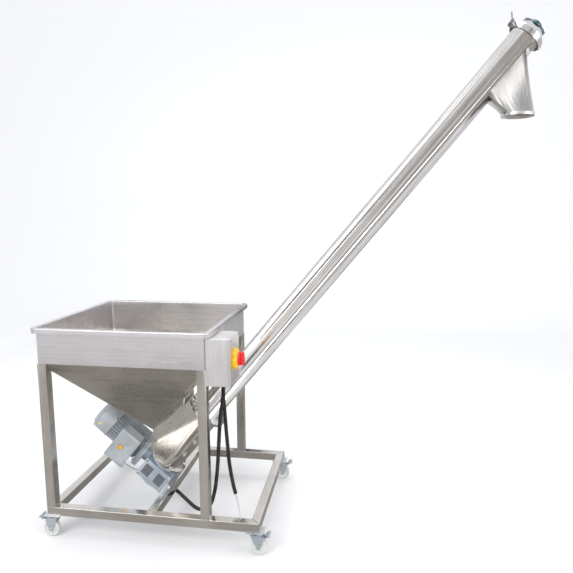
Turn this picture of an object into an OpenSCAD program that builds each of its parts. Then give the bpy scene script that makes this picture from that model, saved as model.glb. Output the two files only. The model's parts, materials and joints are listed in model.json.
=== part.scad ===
// Mobile inclined screw conveyor for grain: a square hopper on a wheeled frame
// feeds a U-trough, and a screw inside a round tube lifts the grain to a spout.
// Origin: middle of the whole machine's footprint, on the floor.
// +X runs the way the auger rises, -Y is the operator's side, +Z is up.

/* [Frame] */
// Length of the base frame along X
base_l = 985; // [900:5:1200]
// Depth of the base frame and of the hopper along Y
base_w = 715; // [600:5:860]
// Outer side of the square tube that the frame is made of
bar_s = 40; // [34:1:48]
// Wall of the square tube
bar_t = 2; // [1.5:0.5:3]
// From the left face of the base to the middle of the cross bar
cross_x = 487; // [400:1:570]
// Height of the underside of the base over the floor
caster_h = 110; // [106:1:140]
// From the underside of the base to the bottom of the hopper's upright walls
leg_h = 713; // [650:1:860]

/* [Hopper] */
// Length of the hopper along X
hopper_l = 764; // [700:1:880]
// Height of the hopper's upright walls
wall_h = 161; // [130:1:220]
// Thickness of the hopper's sheet
sheet_t = 2; // [1.5:0.5:3]
// How far the rim stands out from the walls
rim_out = 21.5; // [15:0.5:30]
// Depth of the rim's turned-down lip
rim_lip = 21.5; // [10:0.5:30]
// Outer radius of the upright bends
bend_r = 10; // [6:1:16]
// From the left face of the base to the left wall of the hopper's neck
neck_x = 398; // [380:1:430]
// Length of the neck along X
neck_l = 168; // [140:1:200]
// Height of the neck's left wall over the trough flange
neck_h_left = 73; // [60:1:110]
// Height of the neck's right wall over the trough flange
neck_h_right = 43; // [30:1:90]

/* [Auger] */
// Slope of the auger against the floor in degrees
auger_angle = 50.4; // [46:0.2:54]
// From the left face of the base to where the axis crosses its underside
foot_x = 330.6; // [300:0.2:360]
// Outer radius of the auger tube
tube_r = 60; // [54:0.5:66]
// Wall of the auger tube
tube_t = 2; // [1.5:0.5:3]
// Place of the tube's upper end along the axis
tube_end = 2699; // [2300:1:3200]
// Gap between the flight's edge and the tube
flight_gap = 3.5; // [2.5:0.5:8]
// Advance of the flight for each turn
flight_pitch = 110; // [80:5:140]
// Thickness of the flight
flight_t = 3; // [2:0.5:5]
// Outer radius of the screw's hollow shaft
shaft_r = 19; // [16:0.5:24]
// Radius of the solid stubs at the two ends of the shaft
stub_r = 12; // [10:0.5:14]

/* [Trough] */
// Outer radius of the trough's round bottom
trough_r = 75; // [70:1:88]
// Sheet of the trough
trough_t = 3; // [2:0.5:4]
// Height of the trough's top flange over the auger axis
trough_top = 100; // [94:1:110]
// Radius of the round flanges at the trough's two ends
disc_r = 100; // [96:1:120]
// Thickness of the round flanges
disc_t = 8; // [6:1:12]
// Place of the trough's lower end along the axis
trough_start = 190; // [186:1:200]
// Place of the trough's upper end along the axis
trough_end = 514; // [500:1:540]
// How far below the axis the cleaning door's flange lies
door_drop = 35; // [30:1:42]
// Place of the cleaning door's lower end along the axis
door_start = 240; // [230:1:250]
// Place of the cleaning door's upper end along the axis
door_end = 480; // [440:1:490]

/* [Spout] */
// Radius of the round spout mouth
mouth_r = 67; // [56:1:74]
// Height of the spout mouth over the underside of the base
mouth_h = 1762; // [1740:1:1774]
// From the tube axis point over the slot to the mouth's centre along X
mouth_x = 2036; // [2020:1:2050]
// Place of the spout slot's lower end along the axis
slot_start = 2425; // [2405:1:2440]
// Place of the spout slot's upper end along the axis
slot_end = 2645; // [2630:1:2655]

/* [Drive] */
// Place of the gear wheel's mid-plane along the axis
gear_t = 94.5; // [94:0.5:96]
// Distance between the worm's axis and the wheel's axis
centre_dist = 63; // [60:0.5:66]
// Half of the gearbox housing's side
housing_half = 78; // [74:1:84]
// Width of the gearbox housing along the auger axis
housing_w = 103; // [96:1:106]
// Radius of the motor's fins and of its fan cowl
motor_r = 80; // [76:1:86]
// Radius of the motor flange
motor_flange_r = 100; // [94:1:106]
// Length of the motor's finned frame
motor_l = 195; // [180:1:220]
// Length of the fan cowl
cowl_l = 100; // [85:1:120]
// Running gap between a shaft and its bearing
run_gap = 0.05; // [0.02:0.01:0.1]

/* [Controls] */
// Depth of the control box along X, with its lid
cbox_d = 106; // [90:1:130]
// Width of the control box along Y
cbox_w = 155; // [130:1:190]
// Height of the control box
cbox_h = 205; // [170:1:206]
// From the underside of the base to the underside of the control box
cbox_z = 645; // [600:1:645]
// Radius of the isolator's round base
switch_r = 45; // [36:1:50]
// Radius of the isolator's handle
handle_r = 30; // [24:1:34]

/* [Casters] */
// Radius of the caster wheels
wheel_r = 37.5; // [34:0.5:38]
// Width of the caster wheels
wheel_w = 24; // [20:1:26]
// How far the wheel trails behind the swivel
trail = 14; // [10:1:16]
// From the frame's outer faces to the swivel
swivel_in = 21; // [20:1:24]

/* [Hidden] */
$fn = 64;

// ---- the frame's own places -------------------------------------------------
pedal_reach = 68;
end_reach = 66;
bearing_side = 36;
x_right = foot_x + (tube_end + end_reach) * cos(auger_angle) + bearing_side;
x_left = swivel_in - pedal_reach;
base_x = -(x_right + x_left) / 2;
near_y = -base_w / 2;
base_top = caster_h + bar_s;
hopper_z = caster_h + leg_h;
rim_z = hopper_z + wall_h;
hair = 0.01;

// ---- the auger's own frame: Z along the axis, X down and right, Y as the row ----
module on_auger(t = 0)
  translate([base_x + foot_x, 0, caster_h]) rotate([0, 90 - auger_angle, 0]) translate([0, 0, t])
    children();
function auger_pt(t, up, y) = [
  base_x + foot_x + t * cos(auger_angle) - up * sin(auger_angle), y,
  caster_h + t * sin(auger_angle) + up * cos(auger_angle)];
// height of the plane that lies `up` over the auger axis, at place x
function plane_z(x, up) =
  caster_h + (x - base_x - foot_x) * tan(auger_angle) + up / cos(auger_angle);

// the motor's frame: Z away from the gearbox, X up the auger, Y as the row
module on_motor(out = 0)
  on_auger(gear_t) translate([0, centre_dist, 0]) rotate([0, -90, 0]) translate([0, 0, out])
    children();

// ---- shapes that repeat -------------------------------------------------------
module tube_z(r, wall, h) difference() {
  cylinder(r = r, h = h);
  translate([0, 0, -1]) cylinder(r = r - wall, h = h + 2);
}
module hex_bolt(r, head_h, shank_r, shank_h) {
  translate([0, 0, -shank_h]) cylinder(r = shank_r, h = shank_h + hair);
  cylinder(r = r, h = head_h, $fn = 6);
}
module round_rect(l, w, r) {
  square([l - 2 * r, w], center = true);
  square([l, w - 2 * r], center = true);
  for (i = [-1, 1], j = [-1, 1]) translate([i * (l / 2 - r), j * (w / 2 - r)]) circle(r = r);
}
// outline of a rounded rectangle as points, corner by corner
corner_steps = 5;
function rect_ring(x0, x1, w, r) = [
  for (c = [0:3]) for (s = [0:corner_steps])
    let (a = 90 * c + 90 * s / corner_steps)
    [(c == 0 || c == 3 ? x1 - r : x0 + r) + r * cos(a),
     (c < 2 ? w / 2 - r : r - w / 2) + r * sin(a)]];
// a thin-walled shape between a lower and an upper ring, each outer and inner
module loft_shell(lower_out, upper_out, lower_in, upper_in) {
  n = len(lower_out);
  function quad(a, b, c, d) = [[a, b, c], [a, c, d]];
  faces = [for (i = [0:n - 1]) let (j = (i + 1) % n) each concat(
    quad(i, n + i, n + j, j), quad(2 * n + i, 2 * n + j, 3 * n + j, 3 * n + i),
    quad(i, j, 2 * n + j, 2 * n + i), quad(n + i, 3 * n + i, 3 * n + j, n + j))];
  polyhedron(points = concat(lower_out, upper_out, lower_in, upper_in), faces = faces);
}

// ---- base frame ----------------------------------------------------------------
// a square tube along X with both ends cut at 45 degrees, outer face on y = 0
module mitred_bar(l) difference() {
  linear_extrude(bar_s) polygon([[0, 0], [l, 0], [l - bar_s, bar_s], [bar_s, bar_s]]);
  translate([0, 0, bar_t]) linear_extrude(bar_s - 2 * bar_t) polygon([
    [bar_t - hair, bar_t], [l - bar_t + hair, bar_t],
    [l - bar_s + bar_t + hair, bar_s - bar_t], [bar_s - bar_t - hair, bar_s - bar_t]]);
}
// a straight square tube along Z
module square_tube(l) difference() {
  translate([0, 0, 0]) cube([bar_s, bar_s, l]);
  translate([bar_t, bar_t, -1]) cube([bar_s - 2 * bar_t, bar_s - 2 * bar_t, l + 2]);
}
module base_near_bar() color("silver") translate([base_x, near_y, caster_h]) mitred_bar(base_l);
module base_back_bar() color("silver")
  translate([base_x + base_l, -near_y, caster_h]) rotate(180) mitred_bar(base_l);
module base_left_bar() color("silver")
  translate([base_x, -near_y, caster_h]) rotate(-90) mitred_bar(base_w);
module base_right_bar() color("silver")
  translate([base_x + base_l, near_y, caster_h]) rotate(90) mitred_bar(base_w);
module base_cross_bar() color("silver")
  translate([base_x + cross_x - bar_s / 2, near_y + bar_s, base_top])
    rotate([-90, 0, 0]) square_tube(base_w - 2 * bar_s);

// ---- legs ------------------------------------------------------------------------
module leg(x, y) color("silver") difference() {
  translate([x, y, base_top]) square_tube(hopper_z - base_top);
  cone_solid(0.3);
}
leg_x_right = base_x + hopper_l - bar_s;
leg_y_back = -near_y - bar_s;
module leg_near_left() leg(base_x, near_y);
module leg_near_right() leg(leg_x_right, near_y);
module leg_back_left() leg(base_x, leg_y_back);
module leg_back_right() leg(leg_x_right, leg_y_back);

// ---- hopper ----------------------------------------------------------------------
neck_x0 = base_x + neck_x;
neck_x1 = neck_x0 + neck_l;
neck_w = 2 * trough_r;
neck_bend_r = 8;
function neck_top_z(x) = let (
  z0 = plane_z(neck_x0, trough_top) + neck_h_left, z1 = plane_z(neck_x1, trough_top) + neck_h_right)
  z0 + (z1 - z0) * (x - neck_x0) / neck_l;
hopper_ring = rect_ring(base_x, base_x + hopper_l, base_w, bend_r);
hopper_ring_in = rect_ring(base_x + sheet_t, base_x + hopper_l - sheet_t, base_w - 2 * sheet_t,
  bend_r - sheet_t);
neck_ring = rect_ring(neck_x0, neck_x1, neck_w, neck_bend_r);
neck_ring_in = rect_ring(neck_x0 + sheet_t, neck_x1 - sheet_t, neck_w - 2 * sheet_t,
  neck_bend_r - sheet_t);
function at_neck_top(ring, more = 0) = [for (p = ring) [p[0], p[1], neck_top_z(p[0]) + more]];
function at_z(ring, z) = [for (p = ring) [p[0], p[1], z]];

module hopper_box() color("lightgray") {
  translate([base_x + hopper_l / 2, 0, hopper_z]) {
    difference() {
      linear_extrude(wall_h) round_rect(hopper_l, base_w, bend_r);
      translate([0, 0, -1]) linear_extrude(wall_h + 2)
        round_rect(hopper_l - 2 * sheet_t, base_w - 2 * sheet_t, bend_r - sheet_t);
    }
    rim_l = hopper_l + 2 * rim_out;
    rim_w = base_w + 2 * rim_out;
    rim_r = bend_r / 2;
    translate([0, 0, wall_h - sheet_t]) difference() {
      linear_extrude(sheet_t) round_rect(rim_l, rim_w, rim_r);
      translate([0, 0, -1]) linear_extrude(sheet_t + 2)
        round_rect(hopper_l - hair, base_w - hair, bend_r);
    }
    translate([0, 0, wall_h - rim_lip]) difference() {
      linear_extrude(rim_lip - sheet_t + hair) round_rect(rim_l, rim_w, rim_r);
      translate([0, 0, -1]) linear_extrude(rim_lip + 2)
        round_rect(rim_l - 2 * sheet_t, rim_w - 2 * sheet_t, rim_r - sheet_t);
    }
  }
}
module hopper_cone() color("rosybrown") loft_shell(
  at_neck_top(neck_ring), at_z(hopper_ring, hopper_z),
  at_neck_top(neck_ring_in), at_z(hopper_ring_in, hopper_z));
// the solid that the sloping walls enclose, for cutting the leg tops to fit
module cone_solid(gap) {
  n = len(neck_ring);
  lower = [for (p = neck_ring) [p[0], p[1], neck_top_z(p[0]) - gap]];
  upper = [for (p = hopper_ring) [p[0], p[1], hopper_z - gap]];
  lid = [for (p = hopper_ring) [p[0], p[1], hopper_z + 10]];
  polyhedron(points = concat(lower, upper, lid), faces = concat(
    [for (i = [0:n - 1]) let (j = (i + 1) % n) each [
      [i, n + i, n + j], [i, n + j, j],
      [n + i, 2 * n + i, 2 * n + j], [n + i, 2 * n + j, n + j]]],
    [[for (i = [0:n - 1]) i], [for (i = [n - 1:-1:0]) 2 * n + i]]));
}

// the neck: upright walls from the trough's flange to the sloping walls, with a flange
flange_out = 14;
flange_t = 4;
neck_t0 = (neck_x - foot_x + trough_top * sin(auger_angle)) / cos(auger_angle);
neck_t1 = neck_t0 + neck_l / cos(auger_angle);
// the walls start inside the flange plate, whose opening is a little narrower
flange_lap = 0.5;
function at_flange(ring) = [for (p = ring) [p[0], p[1], plane_z(p[0], trough_top + flange_t / 2)]];
module flange_plate(lower_up) on_auger() translate([-lower_up - flange_t, 0, 0]) difference() {
  translate([0, -neck_w / 2 - flange_out, neck_t0 - flange_out])
    cube([flange_t, neck_w + 2 * flange_out, neck_t1 - neck_t0 + 2 * flange_out]);
  wall = sheet_t + flange_lap;
  translate([-1, -neck_w / 2 + wall, neck_t0 + wall / cos(auger_angle)])
    cube([flange_t + 2, neck_w - 2 * wall, neck_t1 - neck_t0 - 2 * wall / cos(auger_angle)]);
}
module hopper_neck() color("tan") {
  loft_shell(at_flange(neck_ring), at_neck_top(neck_ring),
    at_flange(neck_ring_in), at_neck_top(neck_ring_in));
  difference() {
    flange_plate(trough_top);
    on_auger() side_holes(-trough_top - flange_t - 1, flange_t + 2);
  }
}

// ---- trough -----------------------------------------------------------------------
door_gap = 1;
door_half_w = sqrt(pow(trough_r, 2) - pow(door_drop, 2));
door_lip = 22;
// U-shaped outline: a half circle below the axis and straight walls above it
module u_outline(r, top) {
  circle(r = r);
  translate([-top, -r]) square([top, 2 * r]);
}
bolt_circle_r = disc_r - 11;
disc_bolts = [22.5:45:337.5];
gear_bolt_r = 76;
module ring_holes(ring_r, from, h) for (a = disc_bolts)
  rotate(a) translate([ring_r, 0, from]) cylinder(r = bolt_hole_r, h = h);
bolt_hole_r = 4.5;
module trough() color("gray") on_auger() difference() {
  union() {
    translate([0, 0, trough_start]) difference() {
      linear_extrude(trough_end - trough_start) u_outline(trough_r, trough_top - flange_t);
      translate([0, 0, trough_t]) linear_extrude(trough_end - trough_start - 2 * trough_t)
        u_outline(trough_r - trough_t, trough_top + 1);
    }
    for (t = [trough_start - disc_t, trough_end - disc_t])
      translate([0, 0, t]) cylinder(r = disc_r, h = disc_t);
    translate([-trough_top, -neck_w / 2 - flange_out, neck_t0 - flange_out])
      cube([flange_t, neck_w + 2 * flange_out, neck_t1 - neck_t0 + 2 * flange_out]);
    for (s = [-1, 1]) translate([door_drop - flange_t, s > 0 ? door_half_w - 3 : -door_half_w - door_lip,
      door_start]) cube([flange_t, door_lip + 3, door_end - door_start]);
  }
  // room for the screw, the neck's opening and the door's opening
  translate([0, 0, trough_start + trough_t])
    linear_extrude(trough_end - trough_start - trough_t - disc_t)
      u_outline(trough_r - trough_t, trough_top - flange_t - trough_t);
  translate([-trough_top - 1, -neck_w / 2 + trough_t, neck_t0 + 4])
    cube([flange_t + 10, neck_w - 2 * trough_t, neck_t1 - neck_t0 - 8]);
  translate([door_drop, -trough_r - 1, door_start]) cube([trough_r, 2 * trough_r + 2,
    door_end - door_start]);
  translate([0, 0, trough_start - disc_t - 1]) cylinder(r = stub_r + run_gap, h = disc_t + trough_t + 2);
  translate([0, 0, trough_end - disc_t - trough_t - 1])
    cylinder(r = tube_r - tube_t, h = disc_t + trough_t + 2);
  ring_holes(gear_bolt_r, trough_start - disc_t - 1, disc_t + 1.5);
  ring_holes(bolt_circle_r, trough_end - disc_t - 1, disc_t + 2);
  for (t = knob_ts) translate([0, -knob_y, t]) rotate([0, 90, 0]) cylinder(r = knob_hole_r,
    h = trough_r);
  side_holes(-trough_top - 1, flange_t + 2);
}
// bolts that join the neck, the trough, the tube, the gearbox and the motor
bolt_r = 6.5;
side_bolts = [neck_t0 + 18, (neck_t0 + neck_t1) / 2 + 10, neck_t1 - 12];
motor_bolt_ring = 82;
module at_motor_bolts(out) for (a = [45:90:315])
  on_motor(out) rotate(a) translate([motor_bolt_ring, 0, 0]) children();
module side_holes(up, h) for (t = side_bolts, s = [-1, 1])
  translate([up, s * (neck_w / 2 + flange_out / 2), t]) rotate([0, 90, 0]) cylinder(r = 3.2, h = h);
module flange_bolts() color("whitesmoke") {
  on_auger() for (a = disc_bolts) rotate(a) {
    translate([bolt_circle_r, 0, trough_end + disc_t]) hex_bolt(bolt_r, 5, 4, 2 * disc_t);
    translate([gear_bolt_r, 0, drive_face - gear_flange_t]) rotate([180, 0, 0])
      hex_bolt(bolt_r, 5, 4, gear_flange_t + disc_t);
  }
  on_auger() for (t = side_bolts, s = [-1, 1])
    translate([-trough_top - flange_t, s * (neck_w / 2 + flange_out / 2), t]) rotate([0, -90, 0]) {
      translate([0, 0, -2 * flange_t - 1]) cylinder(r = 3, h = 2 * flange_t + 2);
      cylinder(r = bolt_r, h = 5, $fn = 6);
      translate([0, 0, -2 * flange_t - 5]) cylinder(r = bolt_r, h = 5);
    }
  at_motor_bolts(frame_start) hex_bolt(8, 6, 5, motor_flange_t + gear_rim_t);
}

// ---- cleaning door -------------------------------------------------------------------
hinge_y = door_half_w + door_lip + 5;
knob_y = door_half_w + 14;
low_knob_in = 60;
high_knob_in = 95;
knob_ts = [door_start + low_knob_in, door_end - high_knob_in];
knob_hole_r = 4.5;
module cleaning_door() color("dimgray") on_auger() {
  intersection() {
    translate([0, 0, door_start + door_gap])
      tube_z(trough_r, trough_t, door_end - door_start - 2 * door_gap);
    translate([door_drop + 0.5, -trough_r - 1, door_start])
      cube([trough_r, 2 * trough_r + 2, door_end - door_start]);
  }
  difference() {
    translate([door_drop + 0.5, -door_half_w - door_lip, door_start + door_gap])
      cube([flange_t, 2 * (door_half_w + door_lip), door_end - door_start - 2 * door_gap]);
    translate([door_drop, -door_half_w + 2, door_start])
      cube([flange_t + 2, 2 * door_half_w - 4, door_end - door_start]);
    for (t = knob_ts) translate([door_drop, -knob_y, t]) rotate([0, 90, 0])
      cylinder(r = knob_stud_r + run_gap, h = flange_t + 2);
  }
  // hinge leaf and pin, outboard of the trough's own flange
  translate([door_drop + 0.5, door_half_w + door_lip - 1, door_start + 30])
    cube([flange_t, 6, door_end - door_start - 60]);
  translate([door_drop + 0.5, hinge_y, door_start + 30])
    cylinder(r = 4, h = door_end - door_start - 60);
}
knob_stud_r = 4;
knob_r = 14;
module door_knob(t) color("gainsboro") on_auger(t) translate([door_drop + 0.5 + flange_t, -knob_y, 0])
  rotate([0, 90, 0]) {
    translate([0, 0, -flange_t - 3]) cylinder(r = knob_stud_r, h = flange_t + 5);
    translate([0, 0, 0.1]) cylinder(r = 7, h = 6);
    translate([0, 0, 6]) linear_extrude(10) {
      circle(r = knob_r - 4);
      for (a = [0:72:288]) rotate(a) translate([knob_r - 4, 0]) circle(r = 4);
    }
  }
module door_knob_lower() door_knob(knob_ts[0]);
module door_knob_upper() door_knob(knob_ts[1]);

// ---- tube and spout --------------------------------------------------------------------
ferrule_r = 67;
ferrule_t = 7;
slot_drop = 34;
slot_lift = 1;
module auger_tube() color("silver") difference() {
  on_auger() difference() {
    union() {
      translate([0, 0, trough_end]) cylinder(r = tube_r, h = tube_end - trough_end);
      translate([0, 0, trough_end]) cylinder(r = disc_r, h = disc_t);
      translate([0, 0, tube_end - ferrule_t]) cylinder(r = ferrule_r, h = ferrule_t);
    }
    translate([0, 0, trough_end - 1]) cylinder(r = tube_r - tube_t, h = tube_end - trough_end + 2);
    ring_holes(bolt_circle_r, trough_end - 1, disc_t + 2);
  }
  spout_solid(sheet_t);
}
// the spout: a straight-sided opening under the tube that turns into a round mouth
spout_steps = 8;
spout_collar = 14;
collar_t = 3.2;
collar_lap = 1.5;
collar_inset = 2.2;
mouth_z = caster_h + mouth_h;
// the slot's sides start just inside the tube's wall, where the walls of the spout are trimmed to it
slot_half_w = sqrt(pow(tube_r, 2) - pow(slot_drop, 2)) + sheet_t;
slot_up = slot_lift - slot_drop;
// the four sides of the slot as a ring of points, matched to a ring round the mouth
function slot_ring(inset) = [for (c = [0:3]) for (s = [0:spout_steps - 1])
  let (f = s / spout_steps, h = slot_half_w - inset, t0 = slot_start + inset, t1 = slot_end - inset)
  c == 0 ? auger_pt(t1, slot_up, -h + 2 * h * f)
  : c == 1 ? auger_pt(t1 + (t0 - t1) * f, slot_up, h)
  : c == 2 ? auger_pt(t0, slot_up, h - 2 * h * f)
  : auger_pt(t0 + (t1 - t0) * f, slot_up, -h)];
// the round end of the walls, inside the thickness of the collar
collar_top = mouth_z + spout_collar - collar_lap;
function mouth_ring(inset) = [for (c = [0:3]) for (s = [0:spout_steps - 1])
  let (a = -45 + 90 * (c + s / spout_steps), r = mouth_r - collar_inset - inset)
  [base_x + mouth_x + r * cos(a), r * sin(a), collar_top]];
module spout_solid(inset) {
  n = 4 * spout_steps;
  middles = [[base_x + mouth_x, 0, collar_top],
    auger_pt((slot_start + slot_end) / 2, slot_up, 0)];
  polyhedron(
    points = concat(mouth_ring(inset), slot_ring(inset), middles),
    faces = [for (i = [0:n - 1]) let (j = (i + 1) % n) each [
      [i, n + i, n + j], [i, n + j, j], [2 * n, i, j], [2 * n + 1, n + j, n + i]]]);
}
module spout() color("gainsboro") {
  difference() {
    loft_shell(mouth_ring(0), slot_ring(0), mouth_ring(sheet_t), slot_ring(sheet_t));
    on_auger(slot_start - 80) cylinder(r = tube_r, h = slot_end - slot_start + 160);
  }
  translate([base_x + mouth_x, 0, mouth_z]) tube_z(mouth_r, collar_t, spout_collar);
}

// ---- clamp, end cap and upper bearing -----------------------------------------------------
clamp_r = 73;
clamp_half_t = 11;
cap_r = 62;
cap_l = 34;
split_gap = 4;
lug_up = 84;
lug_t = 14;
module clamp_band() difference() {
  translate([0, 0, tube_end - clamp_half_t]) cylinder(r = clamp_r, h = 2 * clamp_half_t);
  translate([0, 0, tube_end - clamp_half_t - 1]) cylinder(r = cap_r + 1, h = 2 * clamp_half_t + 2);
  translate([0, 0, tube_end - ferrule_t - 0.3]) cylinder(r = ferrule_r + 0.5, h = 2 * ferrule_t + 0.6);
}
// a lug on the upper side of the band: the near one is long, so that the nut's wings clear the band
near_lug = 30;
far_lug = 12;
module clamp_lug(s) translate([-lug_up - 5, s > 0 ? split_gap / 2 : -split_gap / 2 - near_lug,
  tube_end - lug_t / 2]) cube([lug_up - clamp_r + 10, s > 0 ? far_lug : near_lug, lug_t]);
module clamp_half(s) on_auger() difference() {
  union() {
    difference() {
      clamp_band();
      translate([-clamp_r - 1, s > 0 ? split_gap / 2 - 2 * clamp_r : -split_gap / 2,
        tube_end - clamp_half_t - 1]) cube([2 * clamp_r + 2, 2 * clamp_r, 2 * clamp_half_t + 2]);
    }
    clamp_lug(s);
    // hinge ear on the lower side
    translate([clamp_r - 4, s > 0 ? split_gap / 2 : -split_gap / 2 - 5, tube_end + (s > 0 ? 0.2 : -7)])
      cube([10, 5, 6.8]);
  }
  // the hinge pin's hole in the near half's ear
  if (s < 0) translate([clamp_r + 3, 0, tube_end - 9]) cylinder(r = 2.5 + run_gap, h = 18);
  // slot for the swing bolt, open at the top
  translate([-lug_up - 6, s > 0 ? 0 : -near_lug - 4, tube_end - bolt_rod_r - 0.5])
    cube([6 + eye_r + 0.5, near_lug + 4, 2 * bolt_rod_r + 1]);
}
module clamp_half_near() color("gainsboro") clamp_half(-1);
module clamp_half_far() color("gainsboro") {
  clamp_half(1);
  // pin that the swing bolt turns on
  on_auger(tube_end) translate([-lug_up, pivot_y, -lug_t / 2 - 1])
    cylinder(r = 2.5, h = lug_t + 2);
  on_auger(tube_end) translate([clamp_r + 3, 0, -7.5]) cylinder(r = 2.5, h = 15);
}
pivot_y = 8;
bolt_rod_r = 3.8;
eye_r = 5;
rod_past_nut = 22;
nut_face = near_lug + split_gap / 2 + 0.3;
nut_turn = 34;
module clamp_bolt() color("white") on_auger(tube_end) translate([-lug_up, 0, 0]) difference() {
  union() {
    translate([0, pivot_y, -4]) cylinder(r = eye_r, h = 8);
    translate([0, pivot_y, 0]) rotate([90, 0, 0])
      cylinder(r = bolt_rod_r, h = pivot_y + nut_face + rod_past_nut);
  }
  translate([0, pivot_y, -5]) cylinder(r = 2.5 + run_gap, h = 10);
}
module wing_nut() color("white") on_auger(tube_end) translate([-lug_up, -nut_face, 0])
  rotate([0, nut_turn, 0]) rotate([90, 0, 0]) difference() {
    union() {
      cylinder(r1 = 8, r2 = 6.5, h = 11);
      for (s = [-1, 1]) rotate([90, 0, 0]) translate([0, 0, -2]) linear_extrude(4)
        polygon([[s * 4.5, 1], [s * 12, 4], [s * 24, 14], [s * 31, 21], [s * 27, 24], [s * 15, 17],
          [s * 4.5, 10]]);
    }
    translate([0, 0, -1]) cylinder(r = bolt_rod_r + run_gap, h = 30);
  }
cap_start = tube_end + 0.5;
bearing_z = cap_start + ferrule_t + cap_l;
module end_cap() color("silver") on_auger(cap_start) difference() {
  union() {
    cylinder(r = ferrule_r, h = ferrule_t - 0.5);
    cylinder(r = cap_r, h = ferrule_t + cap_l);
  }
  translate([0, 0, -1]) cylinder(r = tube_r - tube_t, h = ferrule_t + cap_l - 9);
  translate([0, 0, cap_l - 5]) cylinder(r = stub_r + run_gap, h = ferrule_t + 20);
}
bearing_bolt_r = 40;
module end_bearing() color("cadetblue") on_auger(bearing_z) {
  difference() {
    union() {
      linear_extrude(9) {
        circle(r = 34);
        for (a = [45:90:315]) rotate(a) {
          translate([bearing_bolt_r, 0]) circle(r = 11);
          translate([0, -11]) square([bearing_bolt_r, 22]);
        }
      }
      cylinder(r = 30, h = 15);
      translate([0, 0, 15 - hair]) cylinder(r1 = 27, r2 = 20, h = 6);
    }
    translate([0, 0, -1]) cylinder(r = stub_r + run_gap, h = 17);
  }
  for (a = [45:90:315]) rotate(a) translate([bearing_bolt_r, 0, 9 - hair]) {
    cylinder(r = 8.5, h = 1.5);
    cylinder(r = 7.5, h = 7, $fn = 6);
  }
}

// ---- the screw ------------------------------------------------------------------------------
flight_r = tube_r - tube_t - flight_gap;
shaft_start = trough_start + trough_t + 2;
shaft_end = tube_end - 24;
module screw_shaft() color("silver") on_auger() difference() {
  union() {
    translate([0, 0, shaft_start]) cylinder(r = shaft_r, h = shaft_end - shaft_start);
    translate([0, 0, gear_t - 48]) cylinder(r = stub_r, h = shaft_start - gear_t + 48 + 40);
    translate([0, 0, shaft_end - 40]) cylinder(r = stub_r, h = bearing_z + 14 - shaft_end + 40);
  }
  translate([0, 0, shaft_start + 45]) cylinder(r = shaft_r - 4, h = shaft_end - shaft_start - 90);
}
flight_steps = 20;
flight_start = shaft_start + 5;
flight_end = slot_end - 40;
flight_turns = (flight_end - flight_start) / flight_pitch;
module screw_flight() color("lightgray") on_auger(flight_start) {
  n = floor(flight_turns * flight_steps);
  inner = shaft_r - 0.4;
  pts = [for (i = [0:n]) let (a = 360 * i / flight_steps, z = flight_pitch * i / flight_steps)
    each [[inner * cos(a), inner * sin(a), z], [flight_r * cos(a), flight_r * sin(a), z],
      [flight_r * cos(a), flight_r * sin(a), z + flight_t], [inner * cos(a), inner * sin(a), z + flight_t]]];
  faces = concat([[0, 1, 2, 3]], [for (i = [0:n - 1], k = [0:3]) let (p = 4 * i, q = (k + 1) % 4)
    each [[p + k, p + 4 + k, p + 4 + q], [p + k, p + 4 + q, p + q]]],
    [[4 * n + 3, 4 * n + 2, 4 * n + 1, 4 * n]]);
  polyhedron(points = pts, faces = faces);
}

// ---- gearbox ----------------------------------------------------------------------------------
housing_low = gear_t - housing_w / 2;
housing_near = 72;
housing_far = 102;
drive_face = trough_start - disc_t;
neck_r = 60;
input_neck_r = 50.5;
gear_flange_r = 88;
gear_flange_t = 14;
chamber_r = 60;
hub_r = 20;
worm_r = 12.6;
wheel_tip_r = centre_dist - worm_r - 0.4;
input_out = housing_half + 39;
gear_rim_t = 12;
module housing_body() {
  translate([-housing_half, -housing_near, housing_low])
    cube([2 * housing_half, housing_near + housing_far, housing_w]);
}
// cooling slots in the near face: two groups of grooves that run along the auger
module cooling_slots() for (s = [-1, 1], k = [0:5])
  translate([s * 38 - 22 + k * 7.6, -housing_near - 1, housing_low + 22])
    cube([4, 9, housing_w - 44]);
module gearbox_housing() color("lightsteelblue") difference() {
  union() {
    on_auger() {
      housing_body();
      translate([0, 0, housing_low]) cylinder(r = neck_r, h = drive_face - housing_low);
      translate([0, 0, drive_face - gear_flange_t]) cylinder(r = gear_flange_r, h = gear_flange_t);
    }
    on_motor(0) cylinder(r = input_neck_r, h = input_out);
    on_motor(input_out - gear_rim_t) cylinder(r = motor_flange_r, h = gear_rim_t);
  }
  on_auger() {
    translate([0, 0, housing_low - 1]) cylinder(r = chamber_r, h = housing_w - 15);
    cylinder(r = hub_r + run_gap, h = drive_face + 1);
    ring_holes(gear_bolt_r, drive_face - gear_flange_t - 1, gear_flange_t + 2);
    cooling_slots();
  }
  on_motor(-housing_half + 10) cylinder(r = worm_r + 0.2 + run_gap, h = input_out + housing_half);
  on_motor(input_out - gear_rim_t + 5) cylinder(r = 50, h = gear_rim_t);
  at_motor_bolts(input_out - gear_rim_t - 1) cylinder(r = 5.5, h = gear_rim_t + 2);
}
module gearbox_cover() color("lightsteelblue") on_auger(housing_low) difference() {
  union() {
    translate([0, 0, -8]) cylinder(r = chamber_r + 9, h = 8);
    translate([0, 0, -14]) cylinder(r = 34, h = 8);
    cylinder(r = chamber_r - 0.1, h = 4);
    for (a = [30:60:330]) rotate(a) translate([chamber_r + 2, 0, -11]) cylinder(r = 5, h = 4, $fn = 6);
  }
  translate([0, 0, -6]) cylinder(r = hub_r + run_gap, h = 12);
}
wheel_teeth = 32;
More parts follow.
